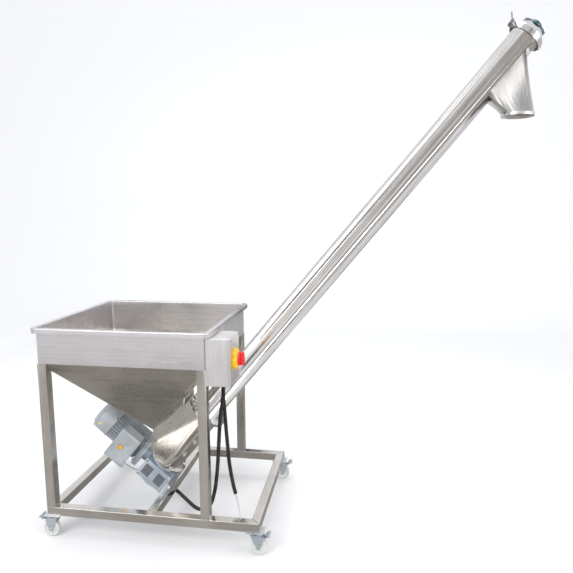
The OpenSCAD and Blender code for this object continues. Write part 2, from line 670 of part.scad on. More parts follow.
module worm_wheel() color("goldenrod") on_auger(gear_t) difference() {
  union() {
    translate([0, 0, -14]) cylinder(r = wheel_tip_r, h = 28);
    translate([0, 0, -housing_w / 2 - 5]) cylinder(r = hub_r, h = drive_face - gear_t + housing_w / 2 + 4);
  }
  translate([0, 0, -housing_w / 2 - 6]) cylinder(r = stub_r, h = housing_w * 2);
  for (k = [1:wheel_teeth]) rotate(360 * k / wheel_teeth)
    translate([wheel_tip_r + 0.5, 0, -15]) cylinder(r = 2.6, h = 30, $fn = 16);
}
worm_low = housing_half - 12;
module worm_shaft() color("gray") on_motor(-worm_low) difference() {
  union() {
    cylinder(r = worm_r + 0.2, h = 20);
    translate([0, 0, 15]) cylinder(r = worm_r - 2, h = worm_low + input_out - 20);
    for (k = [0:5]) translate([0, 0, worm_low - 20 + 7 * k]) cylinder(r1 = worm_r, r2 = worm_r - 2, h = 3);
    translate([0, 0, worm_low + 60]) cylinder(r = worm_r + 0.2, h = input_out - 66);
  }
  translate([0, 0, worm_low + input_out - 60]) cylinder(r = 7, h = 80);
}

// ---- motor --------------------------------------------------------------------------------------
motor_flange_t = 14;
frame_start = input_out + motor_flange_t;
frame_end = frame_start + motor_l;
core_r = 70;
fin_count = 30;
fin_t = 3.2;
fin_start = frame_start + 10;
cowl_lap = 8;
cowl_fit = 2.3;
module motor_frame() color("lightslategray") difference() {
  union() {
    on_motor(input_out) cylinder(r = motor_flange_r, h = motor_flange_t);
    on_motor(frame_start - hair) cylinder(r = core_r, h = motor_l);
    on_motor(fin_start) intersection() {
      cylinder(r = motor_r, h = frame_end - cowl_lap - 2 - fin_start);
      for (k = [1:fin_count]) rotate(360 * (k + 0.5) / fin_count)
        translate([core_r - 3, -fin_t / 2, 0]) cube([motor_r - core_r + 8, fin_t, motor_l]);
    }
    on_motor(frame_end - cowl_lap - 1) cylinder(r = motor_r - cowl_fit, h = cowl_lap + 1);
  }
  on_motor(input_out - 1) cylinder(r = 12 + run_gap, h = 30);
  on_motor(fin_start) cylinder(r = 58, h = motor_l - 20);
  on_motor(frame_end - 20) cylinder(r = 10 + run_gap, h = 40);
  at_motor_bolts(input_out - 1) cylinder(r = 5.5, h = motor_flange_t + 2);
}
module motor_rotor() color("gray") {
  on_motor(input_out - 40) cylinder(r = 7, h = 60);
  on_motor(input_out + 2) cylinder(r = 12, h = 60);
  on_motor(input_out + 50) cylinder(r = 52, h = motor_l - 80);
  on_motor(input_out + 60) cylinder(r = 10, h = frame_end - input_out - 60 + 40);
}
fan_start = frame_end + 12;
module motor_fan() color("dimgray") on_motor(fan_start) difference() {
  union() {
    cylinder(r = 16, h = 20);
    cylinder(r = 62, h = 3);
    for (a = [0:45:315]) rotate(a) translate([14, -1.5, 0]) cube([48, 3, 18]);
  }
  translate([0, 0, -1]) cylinder(r = 10, h = 40);
}
cowl_taper = 26;
module fan_cowl() color("lightsteelblue") on_motor(frame_end - cowl_lap) difference() {
  union() {
    cylinder(r = motor_r, h = cowl_l - cowl_taper);
    translate([0, 0, cowl_l - cowl_taper - hair]) cylinder(r1 = motor_r, r2 = motor_r - 22, h = cowl_taper);
  }
  translate([0, 0, -1]) cylinder(r = motor_r - cowl_fit, h = cowl_l - cowl_taper);
  translate([0, 0, cowl_l - cowl_taper - 2]) cylinder(r1 = motor_r - cowl_fit, r2 = motor_r - 23, h = cowl_taper);
  for (r = [18, 32, 46], a = [0:360 / floor(r / 3.4):359]) rotate(a)
    translate([r, 0, cowl_l - 6]) cylinder(r = 3.4, h = 8, $fn = 6);
}

// the terminal box, seated on the motor's fins
tbox_t0 = 14;
tbox_t1 = 190;
tbox_n0 = 150;
tbox_n1 = 262;
tbox_out = 68;
tbox_depth = 51;
tlid_t = 12;
module terminal_box() color("lightsteelblue") difference() {
  union() {
    on_auger() translate([-tbox_n1 + 3, -tbox_out, tbox_t0 + 3])
      cube([tbox_n1 - tbox_n0 - 6, tbox_depth, tbox_t1 - tbox_t0 - 6]);
    on_auger() translate([-tbox_n1 + 14, -tbox_out + tbox_depth - hair, gear_t - 42])
      cube([tbox_n1 - tbox_n0 - 28, 18, 84]);
  }
  on_motor(tbox_n0 - 5) cylinder(r = motor_r + 0.1, h = tbox_n1 - tbox_n0 + 10);
  on_auger() translate([-tbox_n1 + 7, -tbox_out - 1, tbox_t0 + 7])
    cube([tbox_n1 - tbox_n0 - 14, tbox_depth - 3, tbox_t1 - tbox_t0 - 14]);
}
module terminal_lid() color("lightsteelblue") on_auger() {
  translate([-tbox_n1, -tbox_out - tlid_t, tbox_t0])
    cube([tbox_n1 - tbox_n0, tlid_t, tbox_t1 - tbox_t0]);
  for (x = [-tbox_n1 + 9, -tbox_n0 - 9], t = [tbox_t0 + 9, tbox_t1 - 9])
    translate([x, -tbox_out - tlid_t + hair, t]) rotate([90, 0, 0]) cylinder(r = 4, h = 2.5);
}

// ---- control box and isolator ----------------------------------------------------------------------
cbox_x = base_x + hopper_l;
cbox_y = near_y;
cbox_base = caster_h + cbox_z;
clid_t = 8;
cbox_wall = 1.5;
module control_box() color("gainsboro") translate([cbox_x, cbox_y, cbox_base]) difference() {
  cube([cbox_d - clid_t, cbox_w, cbox_h]);
  translate([cbox_wall, cbox_wall, cbox_wall])
    cube([cbox_d, cbox_w - 2 * cbox_wall, cbox_h - 2 * cbox_wall]);
  for (p = gland_places) translate([p[0] - cbox_x, p[1] - cbox_y, -1]) cylinder(r = 8, h = 4);
}
switch_y = cbox_y + cbox_w / 2 - 8;
switch_z = cbox_base + cbox_h / 2 + 4;
spindle_r = 5;
module control_lid() color("gainsboro") difference() {
  translate([cbox_x + cbox_d - clid_t, cbox_y, cbox_base]) cube([clid_t, cbox_w, cbox_h]);
  translate([cbox_x + cbox_d - clid_t - 1, cbox_y + 2, cbox_base + 2])
    cube([clid_t - 0.5, cbox_w - 4, cbox_h - 4]);
  translate([cbox_x, switch_y, switch_z]) rotate([0, 90, 0]) cylinder(r = 12, h = cbox_d + 5);
}
module lid_screws() color("white") for (y = [8, cbox_w - 8], z = [8, cbox_h - 8])
  translate([cbox_x + cbox_d, cbox_y + y, cbox_base + z]) rotate([0, 90, 0])
    cylinder(r = 4, h = 2.5);
switch_t = 20;
module switch_base() color("gold") translate([cbox_x + cbox_d, switch_y, switch_z])
  rotate([0, 90, 0]) difference() {
    union() {
      cylinder(r = switch_r, h = switch_t * 0.6);
      translate([0, 0, switch_t * 0.6 - hair]) cylinder(r1 = switch_r, r2 = switch_r - 5, h = switch_t * 0.4);
      translate([0, 0, -8]) cylinder(r = 11.5, h = 9);
    }
    translate([0, 0, -9]) cylinder(r = spindle_r + run_gap, h = switch_t + 20);
  }
module switch_handle() color("red") translate([cbox_x + cbox_d, switch_y, switch_z])
  rotate([0, 90, 0]) {
    translate([0, 0, -6]) cylinder(r = spindle_r, h = switch_t + 8);
    translate([0, 0, switch_t + 0.3]) cylinder(r = handle_r, h = 6);
    translate([-handle_r + 1, -7, switch_t + 5]) cube([2 * handle_r - 2, 14, 20]);
  }

// ---- cables --------------------------------------------------------------------------------------------
gland_in_motor = 51.04;
gland_in_supply = 39.04;
gland_places = [[cbox_x + gland_in_motor, -268], [cbox_x + gland_in_supply, -232]];
tgland_t = 26.5;
tgland_up = 205;
gland_l = 20;
conduit_r = 9;
module gland(r, hole_r) difference() {
  union() {
    cylinder(r = r, h = 7, $fn = 6);
    translate([0, 0, 7 - hair]) cylinder(r = r - 1.5, h = gland_l - 7);
  }
  translate([0, 0, 6]) cylinder(r = hole_r, h = gland_l);
}
module cable_glands() color("black") {
  for (p = gland_places) translate([p[0], p[1], cbox_base]) rotate([180, 0, 0]) gland(13, conduit_r + 0.8);
  translate(auger_pt(tgland_t, tgland_up, tbox_depth - tbox_out)) rotate([-90, 0, 0]) gland(9.5, 4.8);
}
supply_route = [[-238, -232, 748], [-238, -232, 710], [-237, -233, 672], [-235, -234, 634],
  [-232, -235, 596], [-229, -237, 558], [-227, -237, 520], [-224, -238, 482], [-221, -239, 444],
  [-218, -239, 406], [-215, -240, 368], [-210, -240, 330], [-204, -240, 292], [-197, -240, 255],
  [-188, -240, 218]];
supply_lead_route = [[-188, -240, 218], [-185.5, -240, 209], [-183, -241, 200.5],
  [-180.5, -242.5, 192], [-177.5, -246, 184], [-174.5, -251, 177], [-171, -257, 171.5],
  [-168, -264, 166.5], [-164.5, -271.5, 162.5], [-161.5, -279.5, 159.5], [-158.5, -288, 157.5],
  [-155.5, -296, 156], [-152.5, -305, 155], [-150, -313.5, 154], [-147, -322, 154]];
motor_route = [[-226, -268, 748], [-228, -268, 703], [-233, -268, 659], [-240, -268, 614],
  [-245, -268, 570], [-249, -268, 525], [-252, -268, 481], [-255, -268, 436], [-258, -268, 391],
  [-262, -268, 346], [-267, -268, 302], [-273, -268, 258], [-283, -266, 214], [-298, -260, 172],
  [-326, -248, 140], [-361, -228, 120], [-394, -200, 111], [-425, -168, 107], [-455, -134, 103],
  [-484, -101, 99], [-514, -68, 96], [-546, -36, 94]];
motor_lead_route = [[-546, -36, 94], [-561, -19.5, 92], [-576, -2.5, 89.5], [-590.5, 14, 87.5],
  [-606, 30, 85], [-622, 45.5, 83.5], [-639, 60, 81.5], [-657, 73.5, 80.5], [-676, 85.5, 80],
  [-695.5, 96, 80.5], [-716.5, 104.5, 82], [-738, 109.5, 84.5], [-760, 111.5, 89.5],
  [-781.5, 110, 96], [-801.5, 105.5, 104.5], [-819.5, 98.5, 116], [-835.5, 90, 129],
  [-851, 81.5, 143], [-865.5, 73.5, 158], [-877.5, 64.5, 174.5], [-884, 54.5, 193],
  [-883, 43, 212.5], [-875, 34, 231], [-862, 28.5, 248.5], [-852.5, 12, 260], [-851.5, -10, 261]];
// a round tube swept along a route: each ring stands square to the route
function unit(v) = v / norm(v);
function heading(p, i) = unit(p[min(i + 1, len(p) - 1)] - p[max(i - 1, 0)]);
module swept(p, r, sides) {
  n = len(p);
  pts = [for (i = [0:n - 1]) let (d = heading(p, i), s = unit(cross(d, [0.3, 1, 0.2])), u = cross(s, d))
    for (k = [0:sides - 1]) p[i] + r * (s * cos(360 * k / sides) + u * sin(360 * k / sides))];
  faces = concat([[for (k = [0:sides - 1]) k]],
    [for (i = [0:n - 2], k = [0:sides - 1]) let (a = i * sides, q = (k + 1) % sides)
      each [[a + k, a + sides + k, a + sides + q], [a + k, a + sides + q, a + q]]],
    [[for (k = [sides - 1:-1:0]) (n - 1) * sides + k]]);
  polyhedron(points = pts, faces = faces);
}
module supply_conduit() color("black") swept(supply_route, conduit_r - 0.2, 10);
module supply_lead() color("lightgray") swept(supply_lead_route, 4, 8);
module motor_conduit() color("black") swept(motor_route, conduit_r - 0.2, 10);
module motor_lead() color("dimgray") swept(motor_lead_route, 3.5, 8);

// ---- casters ---------------------------------------------------------------------------------------------
plate_l = 76;
plate_w = 62;
plate_t = 3;
fork_gap = 1.5;
fork_t = 2.5;
crown_top = caster_h - plate_t - 8;
pivot_x = 34;
pivot_z = 78;
axle_r = 4;
king_r = 6;
// [x, y, heading of the trailing wheel]
near_left = [base_x + swivel_in, near_y + swivel_in, 180];
near_right = [base_x + base_l - swivel_in, near_y + swivel_in, 0];
back_left = [base_x + swivel_in, -near_y - swivel_in, 120];
back_right = [base_x + base_l - swivel_in, -near_y - swivel_in, 12];
module at_caster(c) translate([c[0], c[1], 0]) rotate(c[2]) children();
module caster_plates() color("silver") for (c = [near_left, near_right, back_left, back_right])
  translate([c[0], c[1], 0]) {
    translate([-plate_l / 2, -plate_w / 2, caster_h - plate_t]) cube([plate_l, plate_w, plate_t]);
    translate([0, 0, caster_h - plate_t - 5]) tube_z(23, 6, 5 + hair);
    translate([0, 0, crown_top - 9]) cylinder(r = king_r, h = caster_h - plate_t - crown_top + 9 + hair);
    translate([0, 0, crown_top - 11]) cylinder(r = 9.5, h = 5, $fn = 6);
  }
module fork_side() {
  polygon([[-24, crown_top], [24, crown_top], [38, pivot_z + 4], [38, pivot_z - 6], [trail + 9, wheel_r - 2],
    [trail - 9, wheel_r - 2]]);
  translate([trail, wheel_r]) circle(r = 10);
}
module fork(c) color("lightsteelblue") at_caster(c) {
  difference() {
    union() {
      translate([0, 0, crown_top - 3]) cylinder(r = 24, h = 3);
      translate([-20, -wheel_w / 2 - fork_gap - fork_t, crown_top - 3])
        cube([40, wheel_w + 2 * (fork_gap + fork_t), 3]);
    }
    translate([0, 0, crown_top - 5]) cylinder(r = king_r + run_gap, h = 10);
  }
  for (s = [-1, 1]) translate([0, s * (wheel_w / 2 + fork_gap + fork_t / 2) + fork_t / 2, 0])
    rotate([90, 0, 0]) linear_extrude(fork_t) difference() {
      fork_side();
      translate([pivot_x, pivot_z]) circle(r = 2.5 + run_gap);
    }
  translate([trail, wheel_w / 2 + fork_gap + fork_t, wheel_r]) rotate([90, 0, 0]) {
    cylinder(r = axle_r, h = wheel_w + 2 * (fork_gap + fork_t));
    translate([0, 0, -4]) cylinder(r = 7, h = 4 + hair, $fn = 6);
    translate([0, 0, wheel_w + 2 * (fork_gap + fork_t) - hair]) cylinder(r = 7, h = 4, $fn = 6);
  }
}
module caster_wheel(c) color("whitesmoke") at_caster(c) translate([trail, wheel_w / 2, wheel_r])
  rotate([90, 0, 0]) rotate_extrude($fn = 96) {
    polygon([[axle_r + run_gap, -0.8], [13, -0.8], [15, 3], [28, 3], [30, 0], [wheel_r - 3, 0],
      [wheel_r, 4], [wheel_r, wheel_w - 4], [wheel_r - 3, wheel_w], [30, wheel_w], [28, wheel_w - 3],
      [15, wheel_w - 3], [13, wheel_w + 0.8], [axle_r + run_gap, wheel_w + 0.8]]);
  }
pedal_t = 2.5;
module pedal(c) color("silver") at_caster(c) translate([pivot_x, 0, pivot_z]) {
  rotate([90, 0, 0]) translate([0, 0, -wheel_w / 2 - fork_gap - fork_t - 1])
    cylinder(r = 2.5, h = wheel_w + 2 * (fork_gap + fork_t) + 2);
  rotate([90, 0, 0]) translate([0, 0, 1 - wheel_w / 2]) cylinder(r = 4.5, h = wheel_w - 2);
  rotate([0, -38, 0]) {
    translate([2, -wheel_w / 2, -pedal_t / 2]) cube([16, wheel_w, pedal_t]);
    translate([14, -22, -pedal_t / 2]) cube([22, 44, pedal_t]);
    translate([33.5, -22, -pedal_t / 2 - 8]) cube([pedal_t, 44, 8 + pedal_t]);
  }
}
module fork_near_left() fork(near_left);
module fork_near_right() fork(near_right);
module fork_back_left() fork(back_left);
module fork_back_right() fork(back_right);
module wheel_near_left() caster_wheel(near_left);
module wheel_near_right() caster_wheel(near_right);
module wheel_back_left() caster_wheel(back_left);
module wheel_back_right() caster_wheel(back_right);
module pedal_near_left() pedal(near_left);
module pedal_near_right() pedal(near_right);
module pedal_back_left() pedal(back_left);
module pedal_back_right() pedal(back_right);

base_near_bar();
base_back_bar();
base_left_bar();
base_right_bar();
base_cross_bar();
leg_near_left();
leg_near_right();
leg_back_left();
leg_back_right();
hopper_box();
hopper_cone();
hopper_neck();
trough();
flange_bolts();
cleaning_door();
door_knob_lower();
door_knob_upper();
auger_tube();
spout();
clamp_half_near();
clamp_half_far();
clamp_bolt();
wing_nut();
end_cap();
end_bearing();
screw_shaft();
screw_flight();
gearbox_housing();
gearbox_cover();
worm_wheel();
worm_shaft();
motor_frame();
motor_rotor();
motor_fan();
fan_cowl();
terminal_box();
terminal_lid();
control_box();
control_lid();
lid_screws();
switch_base();
switch_handle();
cable_glands();
supply_conduit();
supply_lead();
motor_conduit();
motor_lead();
caster_plates();
fork_near_left();
fork_near_right();
fork_back_left();
fork_back_right();
wheel_near_left();
wheel_near_right();
wheel_back_left();
wheel_back_right();
pedal_near_left();
pedal_near_right();
pedal_back_left();
pedal_back_right();
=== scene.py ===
"""Looks of a mobile grain auger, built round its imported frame.

Every sub-assembly is a class that makes its own surfaces and dresses them. All lengths are in metres, in the
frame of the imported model: +Z up, +X the way the auger rises, -Y towards the side with the control box.
"""

from __future__ import annotations

import json
import logging
import math
from dataclasses import dataclass
from enum import Enum
from typing import Optional, Sequence

import bmesh
import bpy
import numpy as np
from mathutils import Matrix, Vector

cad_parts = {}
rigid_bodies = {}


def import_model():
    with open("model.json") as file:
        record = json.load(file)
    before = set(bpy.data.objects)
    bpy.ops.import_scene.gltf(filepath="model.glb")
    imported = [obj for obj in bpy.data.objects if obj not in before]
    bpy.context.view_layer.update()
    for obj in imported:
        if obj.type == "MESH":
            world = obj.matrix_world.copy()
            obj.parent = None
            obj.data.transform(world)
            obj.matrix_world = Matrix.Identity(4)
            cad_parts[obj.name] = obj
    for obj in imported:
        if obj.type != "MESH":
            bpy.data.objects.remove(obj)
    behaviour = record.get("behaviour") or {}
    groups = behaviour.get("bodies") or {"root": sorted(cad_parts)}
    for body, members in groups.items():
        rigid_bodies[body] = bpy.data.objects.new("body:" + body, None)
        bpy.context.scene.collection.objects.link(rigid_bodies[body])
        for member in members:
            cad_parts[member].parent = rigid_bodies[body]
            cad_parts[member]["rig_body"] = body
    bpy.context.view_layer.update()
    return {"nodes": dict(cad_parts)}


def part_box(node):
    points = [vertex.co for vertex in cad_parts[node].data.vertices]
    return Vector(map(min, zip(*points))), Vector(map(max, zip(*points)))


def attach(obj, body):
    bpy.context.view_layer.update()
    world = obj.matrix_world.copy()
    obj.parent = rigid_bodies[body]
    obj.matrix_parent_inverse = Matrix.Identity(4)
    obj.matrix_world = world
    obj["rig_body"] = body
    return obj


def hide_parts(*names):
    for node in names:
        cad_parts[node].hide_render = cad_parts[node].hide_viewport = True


LOG = logging.getLogger("grain_auger")
Array = np.ndarray
MM = 0.001


# ---------------------------------------------------------------------------------------------
# surfaces
# ---------------------------------------------------------------------------------------------


def unit(v: Array) -> Array:
    """Scales vectors, kept in the last axis, to length one."""
    return v / np.linalg.norm(v, axis=-1, keepdims=True)


def grid_faces(rows: int, cols: int, wrap_rows: bool, wrap_cols: bool) -> Array:
    """Lists the four-sided faces of a grid of points.

    Point (i, j) has the number i * cols + j, and face (i, j) joins it to its neighbours at i + 1 and j + 1,
    counted round where the grid wraps.

    Args:
        rows: number of rows of points.
        cols: number of points in a row.
        wrap_rows: whether the last row joins the first.
        wrap_cols: whether the last column joins the first.

    Returns:
        An array of faces, four point numbers each.
    """
    i = np.arange(rows if wrap_rows else rows - 1)[:, None]
    j = np.arange(cols if wrap_cols else cols - 1)[None, :]
    i2, j2 = (i + 1) % rows, (j + 1) % cols
    quads = np.stack(np.broadcast_arrays(i * cols + j, i * cols + j2, i2 * cols + j2, i2 * cols + j), -1)
    return quads.reshape(-1, 4)


def settle(mesh: bpy.types.Mesh, sharp: float, merge: float = 2e-6) -> None:
    """Merges doubled points, drops faces with no area, turns the faces outwards and marks sharp edges.

    Args:
        mesh: the mesh to finish.
        sharp: the angle in degrees past which an edge stays sharp.
        merge: the distance under which two points become one.
    """
    bm = bmesh.new()
    bm.from_mesh(mesh)
    bmesh.ops.remove_doubles(bm, verts=bm.verts, dist=merge)
    bmesh.ops.dissolve_degenerate(bm, edges=bm.edges, dist=1e-7)
    bmesh.ops.recalc_face_normals(bm, faces=bm.faces)
    bm.to_mesh(mesh)
    bm.free()
    mesh.polygons.foreach_set("use_smooth", np.ones(len(mesh.polygons), bool))
    mesh.set_sharp_from_angle(angle=math.radians(sharp))
    mesh.update()


def make_piece(name: str, verts: Array, faces: Array, sharp: float = 40.0) -> bpy.types.Object:
    """Puts points and faces into a new object that sits at the origin.

    Args:
        name: the piece's name.
        verts: points, three numbers each.
        faces: faces, all with the same number of points.
        sharp: the angle in degrees past which an edge stays sharp.

    Returns:
        The new object.
    """
    mesh = bpy.data.meshes.new(name)
    mesh.from_pydata(verts.reshape(-1, 3).tolist(), [], faces.tolist())
    settle(mesh, sharp)
    obj = bpy.data.objects.new(name, mesh)
    bpy.context.scene.collection.objects.link(obj)
    return obj


def joined(name: str, parts: Sequence[tuple[Array, Array]], sharp: float = 40.0) -> bpy.types.Object:
    """Makes one piece of several shells, each given as its points and its faces."""
    starts = np.cumsum([0] + [len(v.reshape(-1, 3)) for v, _ in parts[:-1]])
    verts = np.concatenate([v.reshape(-1, 3) for v, _ in parts])
    faces = np.concatenate([f + s for (_, f), s in zip(parts, starts)])
    return make_piece(name, verts, faces, sharp)


def make_many(name: str, parts: Sequence[tuple[Array, Array]], sharp: float = 40.0) -> bpy.types.Object:
    """Makes one piece of shells whose faces may differ in kind, such as washers with six-sided heads."""
    mesh = bpy.data.meshes.new(name)
    starts = np.cumsum([0] + [len(v.reshape(-1, 3)) for v, _ in parts[:-1]])
    verts = np.concatenate([v.reshape(-1, 3) for v, _ in parts]).tolist()
    faces = [face for (_, f), s in zip(parts, starts) for face in (f + s).tolist()]
    mesh.from_pydata(verts, [], faces)
    settle(mesh, sharp)
    obj = bpy.data.objects.new(name, mesh)
    bpy.context.scene.collection.objects.link(obj)
    return obj


def frame_of(axis: Array) -> tuple[Array, Array]:
    """Finds two unit vectors that stand square to an axis and to each other."""
    axis = unit(np.asarray(axis, float))
    helper = np.array([0.0, 0.0, 1.0]) if abs(axis[2]) < 0.9 else np.array([1.0, 0.0, 0.0])
    side = unit(np.cross(helper, axis))
    return side, np.cross(axis, side)


def lathe(
    profile: Sequence[tuple[float, float]],
    origin: Array,
    axis: Array,
    segments: int = 64,
    lobes: int = 0,
    lobe_depth: float = 0.0,
) -> tuple[Array, Array]:
    """Turns a closed profile about an axis, with lobes round it if asked.

    A point of the profile (r, z) goes to origin + z * axis + r * (1 + depth * cos(lobes * a)) * spoke, where the
    spoke is cos(a) * side + sin(a) * up for every angle a.

    Args:
        profile: (radius, height) points that start and end on the axis or meet each other.
        origin: the point where the height is 0.
        axis: the direction in which the height grows.
        segments: number of steps round.
        lobes: number of lobes.
        lobe_depth: share of the radius by which the lobes stand out.

    Returns:
        The points and the faces.
    """
    prof = np.asarray(profile, float)
    side, up = frame_of(axis)
    a = np.linspace(0, 2 * np.pi, segments, endpoint=False)
    wave = 1 + lobe_depth * np.cos(lobes * a)
    spoke = np.cos(a)[:, None] * side + np.sin(a)[:, None] * up
    verts = (
        np.asarray(origin, float)
        + prof[:, None, 1:2] * unit(np.asarray(axis, float))
        + (prof[:, None, 0] * wave[None, :])[..., None] * spoke[None]
    )
    return verts, grid_faces(len(prof), segments, False, True)


def disc_profile(
    radius: float, height: float, round_by: float, steps: int = 4
) -> list[tuple[float, float]]:
    """Gives the profile of a round button: flat faces joined by quarter circles.

    Args:
        radius: outer radius.
        height: from face to face.
        round_by: radius of the rounded rims.
        steps: points on each quarter circle.

    Returns:
        Profile points from the axis at height 0 to the axis at the full height.
    """
    q = np.linspace(0, np.pi / 2, steps)
    low = [(radius - round_by + round_by * math.sin(t), round_by - round_by * math.cos(t)) for t in q]
    high = [(r, height - z) for r, z in reversed(low)]
    return [(0.0, 0.0)] + low + high + [(0.0, height)]


def hex_bolt(origin: Array, axis: Array, across: float, height: float) -> list[tuple[Array, Array]]:
    """Makes a washer and a six-sided head with a chamfered top.

    Args:
        origin: middle of the washer's underside.
        axis: the way the head points.
        across: radius to the head's corners.
        height: height of the head over the washer.

    Returns:
        Shells, each as points and faces.
    """
    axis = unit(np.asarray(axis, float))
    washer = lathe(disc_profile(across * 1.32, height * 0.28, height * 0.08), origin, axis, 28)
    base = np.asarray(origin, float) + axis * height * 0.27
    head = lathe(
        [(0, 0), (across, 0), (across, height * 0.86), (across * 0.86, height), (0, height)], base, axis, 6
    )
    return [washer, head]


def sweep(path: Array, radii: Array, sides: int) -> tuple[Array, Array]:
    """Carries a circle along a path, with its own radius at every point, and closes both ends.

    The ring at point p with direction d stands on s = d x (0.3, 1, 0.2) and u = s x d.

    Args:
        path: points of the centre line.
        radii: the radius at each point.
        sides: number of points round the circle.

    Returns:
        The points and the faces.
    """
    d = unit(np.gradient(path, axis=0))
    s = unit(np.cross(d, np.array([0.3, 1.0, 0.2])))
    u = np.cross(s, d)
    path = np.concatenate([path[:1], path, path[-1:]])
    radii = np.concatenate([[1e-6], radii, [1e-6]])
    s, u = np.concatenate([s[:1], s, s[-1:]]), np.concatenate([u[:1], u, u[-1:]])
    a = np.linspace(0, 2 * np.pi, sides, endpoint=False)
    ring = np.cos(a)[None, :, None] * s[:, None] + np.sin(a)[None, :, None] * u[:, None]
    return path[:, None] + radii[:, None, None] * ring, grid_faces(len(path), sides, False, True)


def smooth_path(route: Sequence[Sequence[float]], step: float) -> Array:
    """Draws one smooth curve through a route's points, evenly spaced.

    Between points b and c the curve is the cubic with the slopes (c - a) / 2 and (d - b) / 2 at its ends.

    Args:
        route: the points in millimetres.
        step: distance between the points that come back, in metres.

    Returns:
        Points in metres.
    """
    p = np.asarray(route, float) * MM
    p = np.concatenate([[2 * p[0] - p[1]], p, [2 * p[-1] - p[-2]]])
    a, b, c, d = p[:-3, None], p[1:-2, None], p[2:-1, None], p[3:, None]
    t = np.linspace(0, 1, 16, endpoint=False)[None, :, None]
    curve = 0.5 * (
        2 * b + (c - a) * t + (2 * a - 5 * b + 4 * c - d) * t**2 + (3 * b - a - 3 * c + d) * t**3
    )
    curve = np.concatenate([curve.reshape(-1, 3), p[-2:-1]])
    run = np.concatenate([[0], np.cumsum(np.linalg.norm(np.diff(curve, axis=0), axis=1))])
    even = np.linspace(0, run[-1], max(8, int(round(run[-1] / step))))
    return np.stack([np.interp(even, run, curve[:, k]) for k in range(3)], -1)


def path_length(path: Array) -> float:
    """Adds up the straight distances between a path's points."""
    return float(np.linalg.norm(np.diff(path, axis=0), axis=1).sum())


def rounded_ring(
    x0: float, x1: float, half_w: float, radius: float, steps: int, side_steps: int
) -> tuple[Array, Array]:
    """Walks round a rounded rectangle whose middle line is y = 0.

    Each corner is a quarter circle about its centre; each straight side is split evenly.

    Args:
        x0: lowest x.
        x1: highest x.
        half_w: half of its width in y.
        radius: radius of the corners.
        steps: points on each corner.
        side_steps: points inside each straight side.

    Returns:
        The points on the outline and their outward directions, two numbers each.
    """
    points, outs = [], []
    for c in range(4):
        a = math.pi / 2 * c + np.linspace(0, math.pi / 2, steps)
        cx = x1 - radius if c in (0, 3) else x0 + radius
        cy = half_w - radius if c < 2 else radius - half_w
        d = np.stack([np.cos(a), np.sin(a)], -1)
        points.append(np.array([cx, cy]) + radius * d)
        outs.append(d)
    ring, out = [], []
    for c in range(4):
        nxt = points[(c + 1) % 4][0]
        t = np.linspace(0, 1, side_steps + 2)[1:-1, None]
        ring += [points[c], points[c][-1] + (nxt - points[c][-1]) * t]
        out += [outs[c], np.repeat(outs[c][-1:], side_steps, 0)]
    return np.concatenate(ring), np.concatenate(out)


def badge(outline: Array, middle: Array, axis: Array, thick: float, inset: float) -> tuple[Array, Array]:
    """Closes a flat outline into a thin plate with a sloped rim.

    The rows are the middle of the back, the outline, the outline drawn in by the inset and raised by the
    thickness, and the middle of the front.

    Args:
        outline: points round the plate's back edge.
        middle: the middle of the back.
        axis: the way the front faces.
        thick: from back to front.
        inset: how far the front's edge is drawn in.

    Returns:
        The points and the faces.
    """
    axis = unit(np.asarray(axis, float))
    inward = outline - inset * unit(outline - middle)
    rows = [np.broadcast_to(middle, outline.shape), outline, inward + thick * axis]
    rows.append(np.broadcast_to(middle + thick * axis, outline.shape))
    return np.stack(rows), grid_faces(4, len(outline), False, True)


def brick(corner: Array, along: Array, across: Array, rise: Array) -> tuple[Array, Array]:
    """Gives a six-sided block: corner + i * along + j * across + k * rise, for i, j and k of 0 or 1."""
    i, j, k = (v.reshape(-1, 1) for v in np.meshgrid([0, 1], [0, 1], [0, 1], indexing="ij"))
    verts = corner + i * along + j * across + k * rise
    faces = [[0, 1, 3, 2], [4, 6, 7, 5], [0, 4, 5, 1], [2, 3, 7, 6], [0, 2, 6, 4], [1, 5, 7, 3]]
    return verts, np.array(faces)


def box_section(x: Array, y: Array, power: float, steps: int) -> Array:
    """Walks round squared ovals of half-widths x and y.

    Point a is (x * sign(cos a) * |cos a| ** (2 / power), y * sign(sin a) * |sin a| ** (2 / power)).
    """
    a = np.linspace(0, 2 * np.pi, steps, endpoint=False)
    c, s = np.cos(a), np.sin(a)
    e = 2 / power
    return np.stack([x * np.sign(c) * np.abs(c) ** e, y * np.sign(s) * np.abs(s) ** e], -1)


# ---------------------------------------------------------------------------------------------
# shading
# ---------------------------------------------------------------------------------------------


